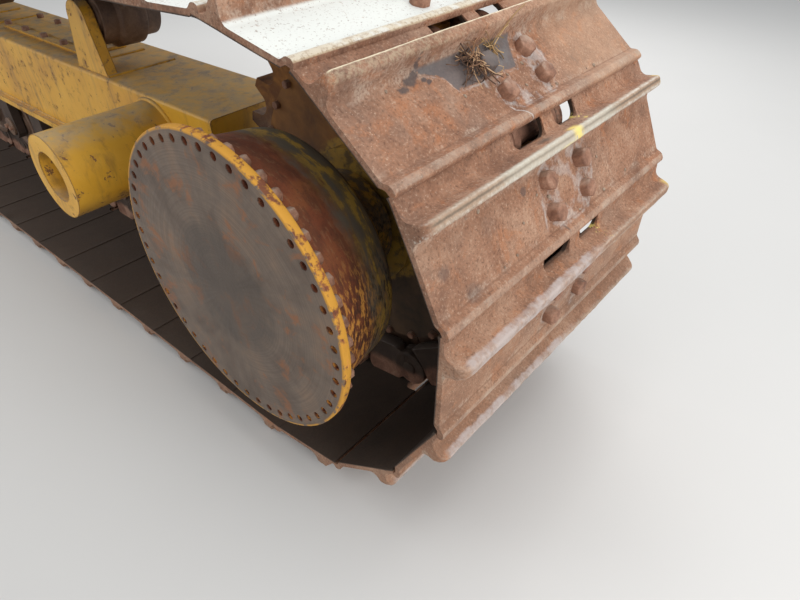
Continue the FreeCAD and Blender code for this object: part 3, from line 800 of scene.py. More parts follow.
def drawOut(piece, stations):
    # extrudes the end that faces along the link through the stations
    for x, low, high in stations:
        verts = bmesh.from_edit_mesh(piece.data).verts
        end = max(v.co.x for v in verts)
        tall = [v.co.z for v in verts if v.co.x > end - 1e-5]
        pick(piece, "faces", lambda f: all(v.co.x > end - 1e-5 for v in f.verts))
        middle = (low + high) / 2
        move = (x - end, 0, middle - (max(tall) + min(tall)) / 2)
        bpy.ops.mesh.extrude_region_move(TRANSFORM_OT_translate={"value": move})
        ratio = (high - low) / (max(tall) - min(tall))
        bpy.ops.transform.resize(value=(1, 1, ratio), center_override=(x, 0, middle))


def shoeMaster(name, plateSteps, acrossCuts, rounding):
    x, low, high = shoe["start"]
    half = shoe["halfWidth"]
    piece = addBox(name, (x - 0.002, -half, low), (x, half, high))
    edit(piece)
    foot, heel = shoe["grouserFoot"]
    clear = heel + shoe["foot"] + 0.002
    span = shoe["plateEnd"] - clear
    thick = [(heel, shoe["plateLow"], shoe["plateHigh"])]
    thick += [(clear + span * i / plateSteps, shoe["plateLow"],
        shoe["plateHigh"]) for i in range(plateSteps + 1)]
    drawOut(piece, shoe["lip"] + shoe["front"] + thick + shoe["rear"] + shoe["tail"])
    pick(piece, "faces", lambda f: f.normal.z > 0.9 and foot < middleOf(f).x < heel)
    rise, top = shoe["grouserRise"], shoe["plateHigh"] + shoe["grouserRise"]
    lean = shoe["grouserMiddle"] - (foot + heel) / 2
    bpy.ops.mesh.extrude_region_move(TRANSFORM_OT_translate={"value": (lean, 0, rise)})
    ratio = shoe["grouserTip"] / (heel - foot)
    bpy.ops.transform.resize(value=(ratio, 1, 0), center_override=(shoe["grouserMiddle"], 0, top))
    bpy.ops.mesh.select_mode(type="EDGE")
    fillet = [(foot, shoe["front"][-1][2]), (heel, shoe["plateHigh"])]
    pick(piece, "edges", lambda e: any(
        all(abs(v.co.x - x) < 1e-4 and abs(v.co.z - z) < 1e-3 for v in e.verts) for x, z in fillet
    ))
    bpy.ops.mesh.bevel(offset=shoe["foot"], segments=4 if rounding > 2 else 2, affect="EDGES")
    pick(piece, "edges", lambda e: all(
        abs(abs(v.co.y) - half) < 1e-4 and abs(v.co.z - top) < 1e-4 for v in e.verts
    ) and abs(e.verts[0].co.y - e.verts[1].co.y) < 1e-4)
    bpy.ops.mesh.bevel(offset=shoe["endRound"], segments=5 if rounding > 2 else 2, affect="EDGES")
    tipHalf = shoe["grouserTip"] / 2
    pick(piece, "edges", lambda e: all(
        v.co.z > top - shoe["endRound"] - 1e-4 and abs(abs(v.co.x - shoe["grouserMiddle"]) - tipHalf) < 4e-3
        for v in e.verts
    ) and abs(e.verts[0].co.y - e.verts[1].co.y) > 1e-4)
    bpy.ops.mesh.bevel(offset=shoe["tipRound"], segments=3 if rounding > 2 else 1, affect="EDGES")
    pick(piece, "edges", lambda e: abs(e.verts[0].co.y - e.verts[1].co.y) > 0.6)
    bpy.ops.mesh.subdivide(number_cuts=acrossCuts)
    done()
    bevelEdges(piece, 0.0035, rounding, 40)
    for start, end in shoe["notches"]:
        cutter = addBox("notch", (x - 0.02, start, low - 0.02), (shoe["notchEnd"], end, high + 0.02))
        edit(cutter, "EDGE")
        pick(cutter, "edges", lambda e: abs(e.verts[0].co.z - e.verts[1].co.z) > 0.01)
        bpy.ops.mesh.bevel(offset=shoe["notchRound"], segments=5)
        done()
        finishWith(piece, "BOOLEAN", object=cutter, operation="DIFFERENCE", solver="EXACT")
        discard(cutter)
    return outward(piece)


def layShoes(name, master, numbers, seed, roughness):
    # each copy is dented a little differently, then laid on its link
    rng = random.Random(seed)
    copies = []
    dents = bpy.data.textures.new(name + "Dents", "CLOUDS")
    dents.noise_scale = 0.19
    nicks = bpy.data.textures.new(name + "Nicks", "CLOUDS")
    nicks.noise_scale = 0.022
    for number in numbers:
        copy = copyOf(master)
        slide = Vector((rng.uniform(1, 9), rng.uniform(1, 9), rng.uniform(1, 9)))
        tip = copy.vertex_groups.new(name="tip")
        edgeLevel = shoe["plateHigh"] + shoe["grouserRise"] * 0.8
        tip.add([v.index for v in copy.data.vertices if v.co.z > edgeLevel], 1.0, "REPLACE")
        links = [(v.co.x, v.co.z, float(number)) for v in copy.data.vertices]
        marked(copy, "link", links)
        copy.data.transform(Matrix.Translation(slide))
        finishWith(copy, "DISPLACE", texture=dents, strength=roughness, mid_level=0.5, texture_coords="LOCAL")
        finishWith(
            copy, "DISPLACE", texture=nicks, strength=roughness * 1.7, mid_level=0.5, texture_coords="LOCAL",
            direction="Z", vertex_group="tip",
        )
        copy.data.transform(Matrix.Translation(-slide))
        copy.data.transform(linkMatrix(number))
        copies.append(copy)
    piece = joinAll(name, copies)
    smooth(piece, 40)
    return give(piece, finishes["shoe"])


nearNumbers = [(topPin + i) % len(pins) for i in range(-1, 6)]
farNumbers = [i for i in range(len(pins)) if i not in nearNumbers]

nearMaster = shoeMaster("nearShoe", 14, 72, 3)
nearShoes = layShoes("shoesNear", nearMaster, nearNumbers, 5, 0.002)
farMaster = shoeMaster("farShoe", 5, 14, 2)
farShoes = layShoes("shoesFar", farMaster, farNumbers, 6, 0.002)
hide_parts("track_shoes")
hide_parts("track_shoes")
print("scene: shoes", len(nearMaster.data.polygons), len(farMaster.data.polygons), "faces a shoe")
discard(nearMaster, farMaster)


# shoe bolts

bolt = {
    "across": 0.036,       # the head, across its flats
    "height": 0.0185,
    "places": [(s, y) for s in (-0.011, 0.0508) for y in (-0.0515, 0.074)],
    "sink": 0.004,
}


def boltMaster(name, across, height):
    # a worn hexagon head: softened corners and a domed top
    deselect()
    bpy.ops.mesh.primitive_cylinder_add(
        vertices=6, radius=across / math.sqrt(3), depth=height, location=(0, 0, height / 2)
    )
    bpy.ops.object.transform_apply(location=True, rotation=True, scale=True)
    piece = named(name)
    edit(piece)
    pick(piece, "faces", lambda f: f.normal.z > 0.9)
    bpy.ops.mesh.inset(thickness=across * 0.05, depth=height * 0.1)
    bpy.ops.mesh.inset(thickness=across * 0.08, depth=height * 0.09)
    bpy.ops.mesh.inset(thickness=across * 0.16, depth=height * 0.06)
    bpy.ops.mesh.select_mode(type="EDGE")
    pick(piece, "edges", lambda e: abs(e.verts[0].co.z - e.verts[1].co.z) > height * 0.9)
    bpy.ops.mesh.bevel(offset=across * 0.13, segments=2)
    done()
    return smooth(piece, 50)


def layBolts(name, master, numbers, seed):
    rng = random.Random(seed)
    copies = []
    for number in numbers:
        for s, y in bolt["places"]:
            turn = Matrix.Rotation(rng.uniform(0, math.pi), 4, "Z")
            lean = Matrix.Rotation(rng.uniform(-0.05, 0.05),
                4, "X") @ Matrix.Rotation(rng.uniform(-0.05, 0.05), 4, "Y")
            squat = Matrix.Diagonal((rng.uniform(0.95, 1.05),
                rng.uniform(0.92, 1.05), rng.uniform(0.8, 1.05), 1))
            place = Matrix.Translation((s, y, shoe["plateHigh"] - bolt["sink"]))
            copies.append(copyOf(master, linkMatrix(number) @ place @ lean @ turn @ squat))
    return give(joinAll(name, copies), finishes["bolt"])


headMaster = boltMaster("head", bolt["across"], bolt["height"] + bolt["sink"])
layBolts("boltsNear", headMaster, nearNumbers, 11)
layBolts("boltsFar", headMaster, farNumbers, 12)
discard(headMaster)
print("scene: bolts laid")


# turned pieces: an outline drawn by extruding one corner, rounded, then spun round its axis

def lathe(name, profile, steps, centre=(0, 0), rounding=0.003, closed=False):
    # profile is (radius, y), about an axis along y through centre's x and z
    deselect()
    x, z = centre
    bpy.ops.mesh.primitive_plane_add(size=0.01)
    piece = named(name)
    edit(piece, "VERT")
    corner = max(piece.data.vertices, key=lambda v: v.co.x + v.co.y).co.copy()
    pick(piece, "verts", lambda v: (v.co - corner).length > 1e-6)
    bpy.ops.mesh.delete(type="VERT")
    bpy.ops.mesh.select_all(action="SELECT")
    start = Vector((x + profile[0][0], profile[0][1], z))
    bpy.ops.transform.translate(value=start - corner)
    last = start
    for radius, y in profile[1:]:
        point = Vector((x + radius, y, z))
        bpy.ops.mesh.extrude_region_move(TRANSFORM_OT_translate={"value": point - last})
        last = point
    if closed:
        bpy.ops.mesh.select_all(action="SELECT")
        bpy.ops.mesh.remove_doubles(threshold=1e-5)
    if rounding:
        pick(piece, "verts", lambda v: len(v.link_edges) == 2 and v.co.x > x + 1e-4)
        bpy.ops.mesh.bevel(offset=rounding, segments=2, affect="VERTICES")
    bpy.ops.mesh.select_all(action="SELECT")
    bpy.ops.mesh.spin(steps=steps, angle=2 * math.pi, center=(x, 0, z), axis=(0, 1, 0))
    done()
    outward(piece)
    return smooth(piece, 50)


def ringOf(master, count, radius, y, facing, centre=(0, 0), first=0.0, seed=3):
    # copies of a piece that points along +z, set round an axis along y
    rng = random.Random(seed)
    copies = []
    side = Matrix.Rotation(-facing * math.pi / 2, 4, "X")
    for i in range(count):
        angle = first + 2 * math.pi * i / count
        place = Vector((centre[0] + radius * math.cos(angle), y, centre[1] + radius * math.sin(angle)))
        spin = Matrix.Rotation(rng.uniform(0, math.pi), 4, "Z")
        squat = Matrix.Diagonal((1, 1, rng.uniform(0.85, 1.1), 1))
        copies.append(copyOf(master, Matrix.Translation(place) @ side @ spin @ squat))
    return copies


# chain: side plates that overlap at the pins, bushings, and the pins' ends

link = {
    "inner": 0.054,
    "outer": 0.098,
    "middle": 0.076,
    "rail": -0.054,
    "seat": 0.0608,
    "halfStraight": 0.05,
    "boss": 0.0515,
    "pin": 0.0195,
    "bushing": 0.03,
    "pinReach": 0.1,
}


def linkMaster():
    # narrow end leads on the inside, the other end lies outside its neighbour
    inner, outer, middle = link["inner"], link["outer"], link["middle"]
    straight = link["halfStraight"]
    web = addBox("web", (-straight, inner + 0.003, link["rail"]), (straight, outer - 0.003, link["seat"]))
    edit(web)
    for side, low, high in ((1, inner, middle - 0.0006), (-1, middle + 0.0006, outer)):
        pick(web, "faces", lambda f: f.normal.x * side > 0.9)
        for reach, rail, seat, share in ((0.022, 0.004, 0.016, 0.6), (0.04, 0.016, 0.026, 1.0)):
            here = max(v.co.x * side for v in bmesh.from_edit_mesh(web.data).verts)
            bpy.ops.mesh.extrude_region_move(TRANSFORM_OT_translate={"value": (side
                * (straight + reach - here), 0, 0)})
            mesh = bmesh.from_edit_mesh(web.data)
            end = [v for v in mesh.verts if v.select]
            for v in end:
                v.co.z = link["rail"] + rail if v.co.z < 0 else link["seat"] - seat
                wide = (inner + 0.003, outer - 0.003)
                want = (low, high)
                k = 0 if v.co.y < sum(e.co.y for e in end) / len(end) else 1
                v.co.y = wide[k] + (want[k] - wide[k]) * share
            bmesh.update_edit_mesh(web.data)
    for face in (1, -1):
        pick(web, "faces", lambda f: f.normal.y * face > 0.95 and abs(middleOf(f).x) < 0.01)
        bpy.ops.mesh.inset(thickness=0.017, depth=-0.007)
    done()
    bevelEdges(web, 0.0035, 2, 25)
    shells = [web]
    for side, low, high in ((1, inner, middle - 0.0006), (-1, middle + 0.0006, outer)):
        x = side * pitch / 2
        boss = addRod("boss", link["boss"], (x, low, 0), (x, high, 0), 36)
        edit(boss)
        pick(boss, "faces", lambda f: abs(f.normal.y) > 0.9)
        bpy.ops.mesh.inset(thickness=0.01, depth=0.0)
        bpy.ops.mesh.inset(thickness=0.004, depth=-0.0015)
        done()
        bevelEdges(boss, 0.0028, 2, 50)
        shells.append(boss)
    return smooth(joinAll("linkMaster", shells), 45)


def makeChain():
    near = linkMaster()
    far = copyOf(near, Matrix.Diagonal((1, -1, 1, 1)))
    outward(far)
    half = link["inner"] + 0.0005
    bushing = bevelEdges(addRod("bushing", link["bushing"],
        (-pitch / 2, -half, 0), (-pitch / 2, half, 0), 28), 0.002, 1, 50)
    reach = link["pinReach"]
    pin = bevelEdges(addRod("pin", link["pin"], (-pitch / 2, -reach, 0), (-pitch / 2, reach, 0), 24),
        0.0025, 2, 50)
    master = smooth(joinAll("chainLink", [near, far, bushing, pin]), 45)
    print("scene: link", len(master.data.polygons), "faces")
    marked(master, "link", [(v.co.x, v.co.z, 0.0) for v in master.data.vertices])
    copies = [copyOf(master, linkMatrix(i)) for i in range(len(pins))]
    discard(master)
    chain = give(joinAll("chain", copies), finishes["chain"])
    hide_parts("track_chain")


makeChain()


# final drive: flange with its ring of bolts, tapered drum, neck

drive = {
    "flange": (0.336, 0.02),
    "drum": (0.297, 0.276, 0.216),      # radius at the flange and at the rim, reach
    "rim": 0.03,
    "neck": 0.124,
    "boltCircle": 0.315,
    "bolts": 48,
    "hole": 0.009,
    "head": (0.025, 0.016),
}


def makeDrive():
    radius, thick = drive["flange"]
    root, rim, deep = drive["drum"]
    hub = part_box("sprocket_hub")[1].y + 0.009
    rounded = [
        (rim + 0.004, -deep + drive["rim"] + 0.03), (rim, -deep + drive["rim"]),
        (rim - 0.004, -deep + 0.015), (rim - 0.012, -deep + 0.0055), (rim - drive["rim"], -deep),
    ]
    profile = [
        (0.0, 0.0), (radius, 0.0), (radius, -thick), (root + 0.004, -thick), (root, -thick - 0.005),
        (root - 0.004, -thick - 0.05), *rounded, (drive["neck"] + 0.014,
            -deep), (drive["neck"], -deep - 0.012),
        (drive["neck"], hub), (0.0, hub),
    ]
    drum = lathe("driveCase", profile, 128, rounding=0.0028)
    holes = []
    for i in range(drive["bolts"]):
        angle = 2 * math.pi * (i + 0.5) / drive["bolts"]
        x, z = drive["boltCircle"] * math.cos(angle), drive["boltCircle"] * math.sin(angle)
        holes.append(addRod("hole", drive["hole"], (x, -0.012, z), (x, 0.01, z), 16))
    cutter = joinAll("holes", holes)
    finishWith(drum, "BOOLEAN", object=cutter, operation="DIFFERENCE", solver="EXACT")
    discard(cutter)
    smooth(drum, 50)
    give(drum, finishes["drive"])
    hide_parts("final_drive_case")
    across, tall = drive["head"]
    head = boltMaster("head", across, tall)
    step = math.pi / drive["bolts"]
    ring = ringOf(head, drive["bolts"], drive["boltCircle"], -thick + 0.001, -1, first=step)
    give(joinAll("flangeBolts", ring), finishes["bolt"])
    discard(head)


makeDrive()
print("scene: final drive made")


# sprocket: rim bolts, hub and cover bolts

sprocket = {
    "rimBolts": 27,
    "rimCircle": 0.3535,
    "rimHead": (0.019, 0.011),
    "hubBolts": 16,
    "hubCircle": 0.153,
    "coverBolts": 10,
    "coverCircle": 0.112,
    "coverHead": (0.02, 0.01),
}


def makeSprocketBolts():
    rimLow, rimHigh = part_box("sprocket_segments")
    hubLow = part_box("sprocket_hub")[0]
    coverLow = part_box("sprocket_cover")[0]
    head = boltMaster("head", *sprocket["rimHead"])
    web = rimHigh.y + 0.024
    first = math.pi / sprocket["rimBolts"]
    pieces = ringOf(head, sprocket["rimBolts"], sprocket["rimCircle"], rimLow.y, -1, first=first)
    pieces += ringOf(head, sprocket["rimBolts"], sprocket["rimCircle"], web, 1, first=first)
    pieces += ringOf(head, sprocket["hubBolts"], sprocket["hubCircle"], hubLow.y, -1)
    discard(head)
    head = boltMaster("head", *sprocket["coverHead"])
    pieces += ringOf(head, sprocket["coverBolts"], sprocket["coverCircle"], coverLow.y, -1)
    pieces.append(copyOf(head, Matrix.Translation((0, coverLow.y, 0)) @ Matrix.Rotation(math.pi / 2,
        4, "X") @ Matrix.Scale(1.6, 4)))
    discard(head)
    give(joinAll("sprocketBolts", pieces), finishes["bolt"])


makeSprocketBolts()


# idler, rollers and carriers

wheels = {
    "idlerTread": 0.3675,
    "idlerFlange": 0.3845,
    "idlerFlangeHalf": 0.044,
    "idlerRim": 0.046,
    "idlerWeb": 0.015,
    "idlerHub": (0.096, 0.104),
    "rollerShell": 0.116,
    "roller": (0.1, 0.12, 0.015),
    "rollerWaist": (0.078, 0.04),
    "rollers": 8,
    "shaft": 0.0323,
    "rail": 0.098,
    "carrier": (0.084, 0.1),
}


def mirrored(half):
    return half + [(r, -y) for r, y in reversed(half)]


def acrossTrack(profile):
    return [(r, middleY + y) for r, y in profile]


def makeIdler():
    tread, flange, web = wheels["idlerTread"], wheels["idlerFlange"], wheels["idlerWeb"]
    hub, hubHalf = wheels["idlerHub"]
    rim, inside = wheels["rail"], tread - wheels["idlerRim"]
    half = [
        (0.0383, hubHalf), (hub - 0.01, hubHalf), (hub, hubHalf - 0.012), (hub + 0.012, web + 0.014),
        (hub + 0.03, web), (inside - 0.026, web), (inside - 0.004, web + 0.018), (inside, rim - 0.006),
        (inside + 0.008, rim), (tread, rim), (tread, wheels["idlerFlangeHalf"] + 0.003),
        (flange, wheels["idlerFlangeHalf"] - 0.005),
    ]
    profile = acrossTrack(mirrored(half))
    wheel = lathe("idlerWheel", profile + profile[:1], 112, (wheelbase, idlerZ), 0.003, closed=True)
    give(wheel, finishes["wheel"], body="idler")
    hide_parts("idler_wheel")
    plug = boltMaster("plug", 0.024, 0.0045)
    places = []
    for facing in (1, -1):
        places += ringOf(plug, 2, 0.07, middleY + facing * hubHalf, facing, (wheelbase, idlerZ))
    discard(plug)
    give(joinAll("idlerPlugs", places), finishes["bolt"], body="idler")


def makeRollers():
    tread, flange, wide = wheels["roller"]
    waist, waistHalf = wheels["rollerWaist"]
    shell = wheels["rollerShell"]
    half = [
        (wheels["shaft"], shell), (0.062, shell), (0.066,
            shell - 0.005), (0.094, shell - 0.005), (0.098, shell),
        (flange, shell), (flange, shell - wide + 0.003), (tread + 0.004, shell - wide - 0.001),
        (tread, shell - wide - 0.005), (tread,
            waistHalf + 0.006), (waist + 0.006, waistHalf), (waist, waistHalf - 0.008),
    ]
    profile = acrossTrack(mirrored(half))
    low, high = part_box("track_rollers")
    z = (low.z + high.z) / 2
    radius = (high.z - low.z) / 2
    first, last = low.x + radius, high.x - radius
    count = wheels["rollers"]
    places = [first + (last - first) * i / (count - 1) for i in range(count)]
    rollers = [lathe("roller", profile + profile[:1], 56, (x, z), 0.002, closed=True) for x in places]
    piece = give(joinAll("rollers", rollers), finishes["wheel"])
    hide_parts("track_rollers")
    return places, z


def makeCarriers():
    tread, flange = wheels["carrier"]
    rail, guide = wheels["rail"], wheels["idlerFlangeHalf"]
    half = [
        (wheels["shaft"], rail), (0.052, rail), (0.056, rail - 0.006), (tread - 0.01, rail - 0.006),
        (tread - 0.006, rail), (tread, rail - 0.002), (tread, guide + 0.004), (flange, guide - 0.004),
    ]
    profile = acrossTrack(mirrored(half))
    for node in ("carrier_1", "carrier_2"):
        low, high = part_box(node)
        centre = ((low.x + high.x) / 2, (low.z + high.z) / 2)
        piece = lathe(node.replace("_", "Wheel"), profile + profile[:1], 56, centre, 0.002, closed=True)
        give(piece, finishes["wheel"])
        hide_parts(node)
        plug = boltMaster("plug", 0.022, 0.009)
        caps = ringOf(plug, 6, 0.044, middleY - rail, -1, centre)
        discard(plug)
        give(joinAll(piece.name + "Bolts", caps), finishes["bolt"])


makeIdler()
rollerPlaces, rollerZ = makeRollers()
makeCarriers()
print("scene: wheels turned")


# the frame's plates, welds and fasteners

fittings = {
    "weld": 0.0055,
    "cover": ((1.3, -0.558, 0.135), (1.96, -0.402, 0.1475)),
    "hatch": ((2.33, -0.6385, -0.062), (2.59, -0.629, 0.086)),
    "head": (0.024, 0.013),
    "smallHead": (0.018, 0.01),
    "rollerCap": (0.04, 0.009),
}


def bead(start, end, radius):
    # a weld laid along a line, uneven along its length
    piece = addRod("bead", radius, start, end, 7)
    length = (Vector(end) - Vector(start)).length
    edit(piece, "EDGE")
    pick(piece, "edges", lambda e: e.calc_length() > length * 0.9)
    bpy.ops.mesh.subdivide(number_cuts=max(4, int(length / 0.011)))
    done()
    return piece


def ringBead(centre, radius, thick):
    # a weld round an axis that runs across the track
    deselect()
    turn = (math.pi / 2, 0, 0)
    bpy.ops.mesh.primitive_torus_add(
        location=centre, rotation=turn, major_radius=radius, minor_radius=thick, major_segments=96, minor_segments=8
    )
    bpy.ops.object.transform_apply(location=True, rotation=True, scale=True)
    return named("bead")


def headsAt(master, places, facing):
    turn = Vector(facing).to_track_quat("Z", "Y").to_matrix().to_4x4()
    rng = random.Random(len(places))
    return [
        copyOf(master, Matrix.Translation(place) @ turn @ Matrix.Rotation(rng.uniform(0, 3), 4, "Z"))
        for place in places
    ]


def makeFrameFittings():
    low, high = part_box("roller_frame")
    weld = fittings["weld"]
    beads = []
    for y in (low.y, high.y):
        beads.append(bead((low.x + 0.004, y, low.z), (high.x - 0.004, y, low.z), weld))
        beads.append(bead((high.x, y, low.z + 0.01), (high.x, y, high.z - 0.014), weld))
    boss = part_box("pivot_boss")
    bossCentre = ((boss[0].x + boss[1].x) / 2, high.y + 0.001, (boss[0].z + boss[1].z) / 2)
    beads.append(ringBead(bossCentre, (boss[1].x - boss[0].x) / 2, weld * 1.4))
    for node in ("carrier_mount_1", "carrier_mount_2", "equalizer_saddle"):
        foot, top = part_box(node)
        z = high.z + 0.001
        near, far = max(foot.y, low.y), min(top.y, high.y)
        beads.append(bead((foot.x, near, z), (foot.x, far, z), weld))
        beads.append(bead((top.x, near, z), (top.x, far, z), weld))
    seams = joinAll("frameWelds", beads)
    lumps = bpy.data.textures.new("weldLumps", "CLOUDS")
    lumps.noise_scale = 0.011
    finishWith(seams, "DISPLACE", texture=lumps, strength=0.0035, mid_level=0.5, texture_coords="LOCAL")
    outward(seams)
    give(smooth(seams, 60), finishes["yellow"])

    plates = [bevelEdges(addBox("plate", *fittings["cover"]), 0.003, 2),
        bevelEdges(addBox("plate", *fittings["hatch"]), 0.003, 2)]
    for plate in plates:
        face = (0, 0, 1) if plate is plates[0] else (0, -1, 0)
        edit(plate)
        pick(plate, "faces", lambda f: f.normal.dot(Vector(face)) > 0.99 and f.calc_area() > 0.01)
        bpy.ops.mesh.inset(thickness=0.03, depth=0.0)
        bpy.ops.mesh.inset(thickness=0.004, depth=0.0035)
        done()
    give(smooth(joinAll("framePlates", plates), 35), finishes["yellow"])

    big = boltMaster("head", *fittings["head"])
    little = boltMaster("head", *fittings["smallHead"])
    heads = []
    (x0, y0, z0), (x1, y1, z1) = fittings["cover"]
    spots = [(x0 + (x1 - x0) * k / 4 + 0.016 * (1 - k / 2),
        y, z1) for k in range(5) for y in (y0 + 0.015, y1 - 0.015)]
    heads += headsAt(big, spots, (0, 0, 1))
    (x0, y0, z0), (x1, y1, z1) = fittings["hatch"]
    spots = [(x, y0, z) for x in (x0 + 0.015, (x0 + x1) / 2, x1 - 0.015) for z in (z0 + 0.015, z1 - 0.015)]
    heads += headsAt(little, spots, (0, -1, 0))
    for place in ("rear", "front"):
        for side, facing in (("in", 1), ("out", -1)):
            foot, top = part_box("guide_guard_%s_%s" % (place, side))
            y = top.y if facing > 0 else foot.y
            span = top.x - foot.x
            spots = [(foot.x + span * (0.1 + 0.2 * k), y, top.z - 0.022) for k in range(5)]
            heads += headsAt(big, spots, (0, facing, 0))
    for node, facing in (("idler_block_in", 1), ("idler_block_out", -1)):
        foot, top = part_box(node)
        y = top.y if facing > 0 else foot.y
        spots = [(x, y, z) for x in (foot.x + 0.026, top.x - 0.026) for z in (foot.z + 0.026, top.z - 0.026)]
        heads += headsAt(big, spots, (0, facing, 0))
    give(joinAll("frameBolts", heads), finishes["bolt"])
    discard(big, little)


def makeRollerCaps():
    # end caps of the roller and idler shafts, each held by two small bolts
    foot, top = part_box("roller_mounts")
    radius, thick = fittings["rollerCap"]
    little = boltMaster("head", *fittings["smallHead"])
    caps, heads = [], []
    for x, z in [*((x, rollerZ) for x in rollerPlaces[1:-1]), (wheelbase, idlerZ)]:
        for facing in (1, -1):
            y = top.y if facing > 0 else foot.y
            start, end = sorted((y - 0.004 * facing, y + thick * facing))
            cap = addRod("cap", radius, (x, start, z), (x, end, z), 36)
            caps.append(bevelEdges(cap, 0.003, 2, 50))
            spots = [(x + 0.022 * k, y + thick * facing, z) for k in (-1, 1)]
            heads += headsAt(little, spots, (0, facing, 0))
    give(smooth(joinAll("shaftCaps", caps), 40), finishes["wheel"])
    give(joinAll("capBolts", heads), finishes["bolt"])
    discard(little)


makeFrameFittings()
makeRollerCaps()
print("scene: frame fittings made")


# dry stalks and clods caught on the shoes

litter = {
    "stalks": 74,
    "tuft": 22,
    "thick": (0.0008, 0.0016),
    "clods": 46,
}


def stalk(points, thick):
    deselect()
    bpy.ops.curve.primitive_nurbs_path_add(radius=0.05)
    path = bpy.context.object
    spline = path.data.splines[0]
    for point, place in zip(spline.points, points):
        point.co = (*place, 1.0)
        point.radius = random.uniform(0.6, 1.0)
    spline.use_endpoint_u = True
    spline.order_u = 4
    spline.resolution_u = 3
    path.data.dimensions = "3D"
    path.data.bevel_depth = thick
    path.data.bevel_resolution = 0
    path.data.use_fill_caps = True
    bpy.ops.object.convert(target="MESH")
    bpy.ops.object.transform_apply(location=True, rotation=True, scale=True)
    return named("stalk")


def makeStraw():
    random.seed(11)
    place = linkMatrix(topPin + 1)
    level = shoe["plateHigh"]
    stalks = []
    for i in range(litter["stalks"] + litter["tuft"]):
        tuft = i >= litter["stalks"]
        root = Vector((random.gauss(-0.018, 0.011),
            random.gauss(-0.086, 0.01), level + random.uniform(0.002, 0.018)))
        reach, lift = random.uniform(0.014, 0.034), random.uniform(0.004, 0.018)
        if tuft:
            root = Vector((random.gauss(-0.036, 0.006),
                random.gauss(-0.018, 0.008), level + random.uniform(0.004, 0.014)))
            reach = random.uniform(0.01, 0.024)
        heading = random.uniform(0, 2 * math.pi)
        points = [root]
        for k in range(4):
            heading += random.uniform(-0.9, 0.9)
            lift *= random.uniform(-0.4, 1.1)
            step = Vector((math.cos(heading), math.sin(heading), 0)) * reach / 2.2
            point = points[-1] + step + Vector((0, 0, lift / 2))
            point.z = max(level + 0.0015, point.z)
            points.append(point)
        stalks.append(stalk(points, random.uniform(*litter["thick"])))
    blades = [
        [(-0.04, -0.012, 0.088), (-0.05, 0.02, 0.106),
            (-0.06, 0.05, 0.121), (-0.066, 0.075, 0.124), (-0.07, 0.094, 0.121)],
        [(-0.034, -0.01, 0.084), (-0.045, 0.01, 0.098),
            (-0.052, 0.03, 0.104), (-0.054, 0.044, 0.1), (-0.056, 0.052, 0.094)],
        [(-0.01, -0.095, 0.078), (0.0, -0.11, 0.084),
            (0.003, -0.122, 0.082), (0.004, -0.132, 0.078), (0.006, -0.137, 0.076)],
        [(-0.02, -0.092, 0.08), (-0.034, -0.1, 0.092),
            (-0.046, -0.104, 0.098), (-0.052, -0.106, 0.1), (-0.058, -0.108, 0.1)],
    ]
    stalks += [stalk([Vector(point) for point in blade], 0.0014) for blade in blades]
    straw = joinAll("dryStalks", stalks)
    tones = []
    marks = random.Random(5)
    share = len(straw.data.vertices) / len(stalks)
    shades = [marks.random() for _ in range(len(stalks) + 2)]
    for i, v in enumerate(straw.data.vertices):
        tones.append((shades[int(i / share)], 1.0 if v.co.y > -0.045 else 0.0, v.co.z - level))
    marked(straw, "tone", tones)
    straw.data.transform(place)
    outward(straw)
    paint = Paint("dryStalk", rough=0.8)
    shade, green, rise = paint.parts(paint.attribute("tone"))
    colour = paint.ramp(shade, [(0.0, (0.045, 0.02, 0.01)),
        (0.5, (0.13, 0.06, 0.028)), (0.8, (0.3, 0.155, 0.075)), (1.0, (0.56, 0.37, 0.21))])
    colour = paint.mix(green * 0.4, colour, (0.4, 0.27, 0.09))
    colour = paint.mix(rise.step(0.012, 0.002) * 0.55, colour, (0.035, 0.02, 0.012))
    grain = paint.noise(300.0, 2.0)
    give(smooth(straw, 60), paint.finish(Base_Color=colour, Normal=paint.bump(grain, 0.0005, 0.4)))


def makeClods():
    # crumbs of dried mud: round the bolts, in the hollow before the rear lip, at the grouser's foot
    random.seed(23)
    lumps = bpy.data.textures.new("clodLumps", "CLOUDS")
    lumps.noise_scale = 0.006
    pieces = []
    for i in range(litter["clods"]):
        number = topPin + random.choice((1, 1, 1, 2, 2, 3))
        s, y = random.choice((
            (random.gauss(0.03, 0.03), random.gauss(0.0, 0.07)), (random.gauss(-0.042, 0.004),
                random.uniform(-0.36, 0.3)),
            (random.gauss(0.08, 0.003), random.uniform(-0.3, 0.36)),
        ))
        deselect()
        size = random.uniform(0.0014, 0.004)
        bpy.ops.mesh.primitive_ico_sphere_add(subdivisions=2, radius=size, location=(0, 0, 0))
        clod = named("clod")
        bpy.ops.transform.resize(value=(1.3, 1.0, 0.6))
        bpy.ops.object.transform_apply(location=True, rotation=True, scale=True)
        turn = Matrix.Rotation(random.uniform(0, 6), 4, "Z")
        clod.data.transform(linkMatrix(number) @ Matrix.Translation((s,
            y, shoe["plateHigh"] + size * 0.2)) @ turn)
        finishWith(clod, "DISPLACE", texture=lumps,
            strength=size * 0.8, mid_level=0.5, texture_coords="LOCAL")
        pieces.append(clod)
    paint = Paint("dryMud", rough=0.95)
    coarse = paint.noise(60.0, 4.0, 0.6)
    grain = paint.noise(300.0, 3.0, 0.7)
    colour = paint.ramp(coarse, [(0.35, (0.17, 0.11, 0.075)),
        (0.55, (0.29, 0.215, 0.155)), (0.7, (0.4, 0.33, 0.26))])
    clods = give(joinAll("mudCrumbs", pieces),
        paint.finish(Base_Color=colour, Normal=paint.bump(grain, 0.0008, 0.6)))
    outward(clods)


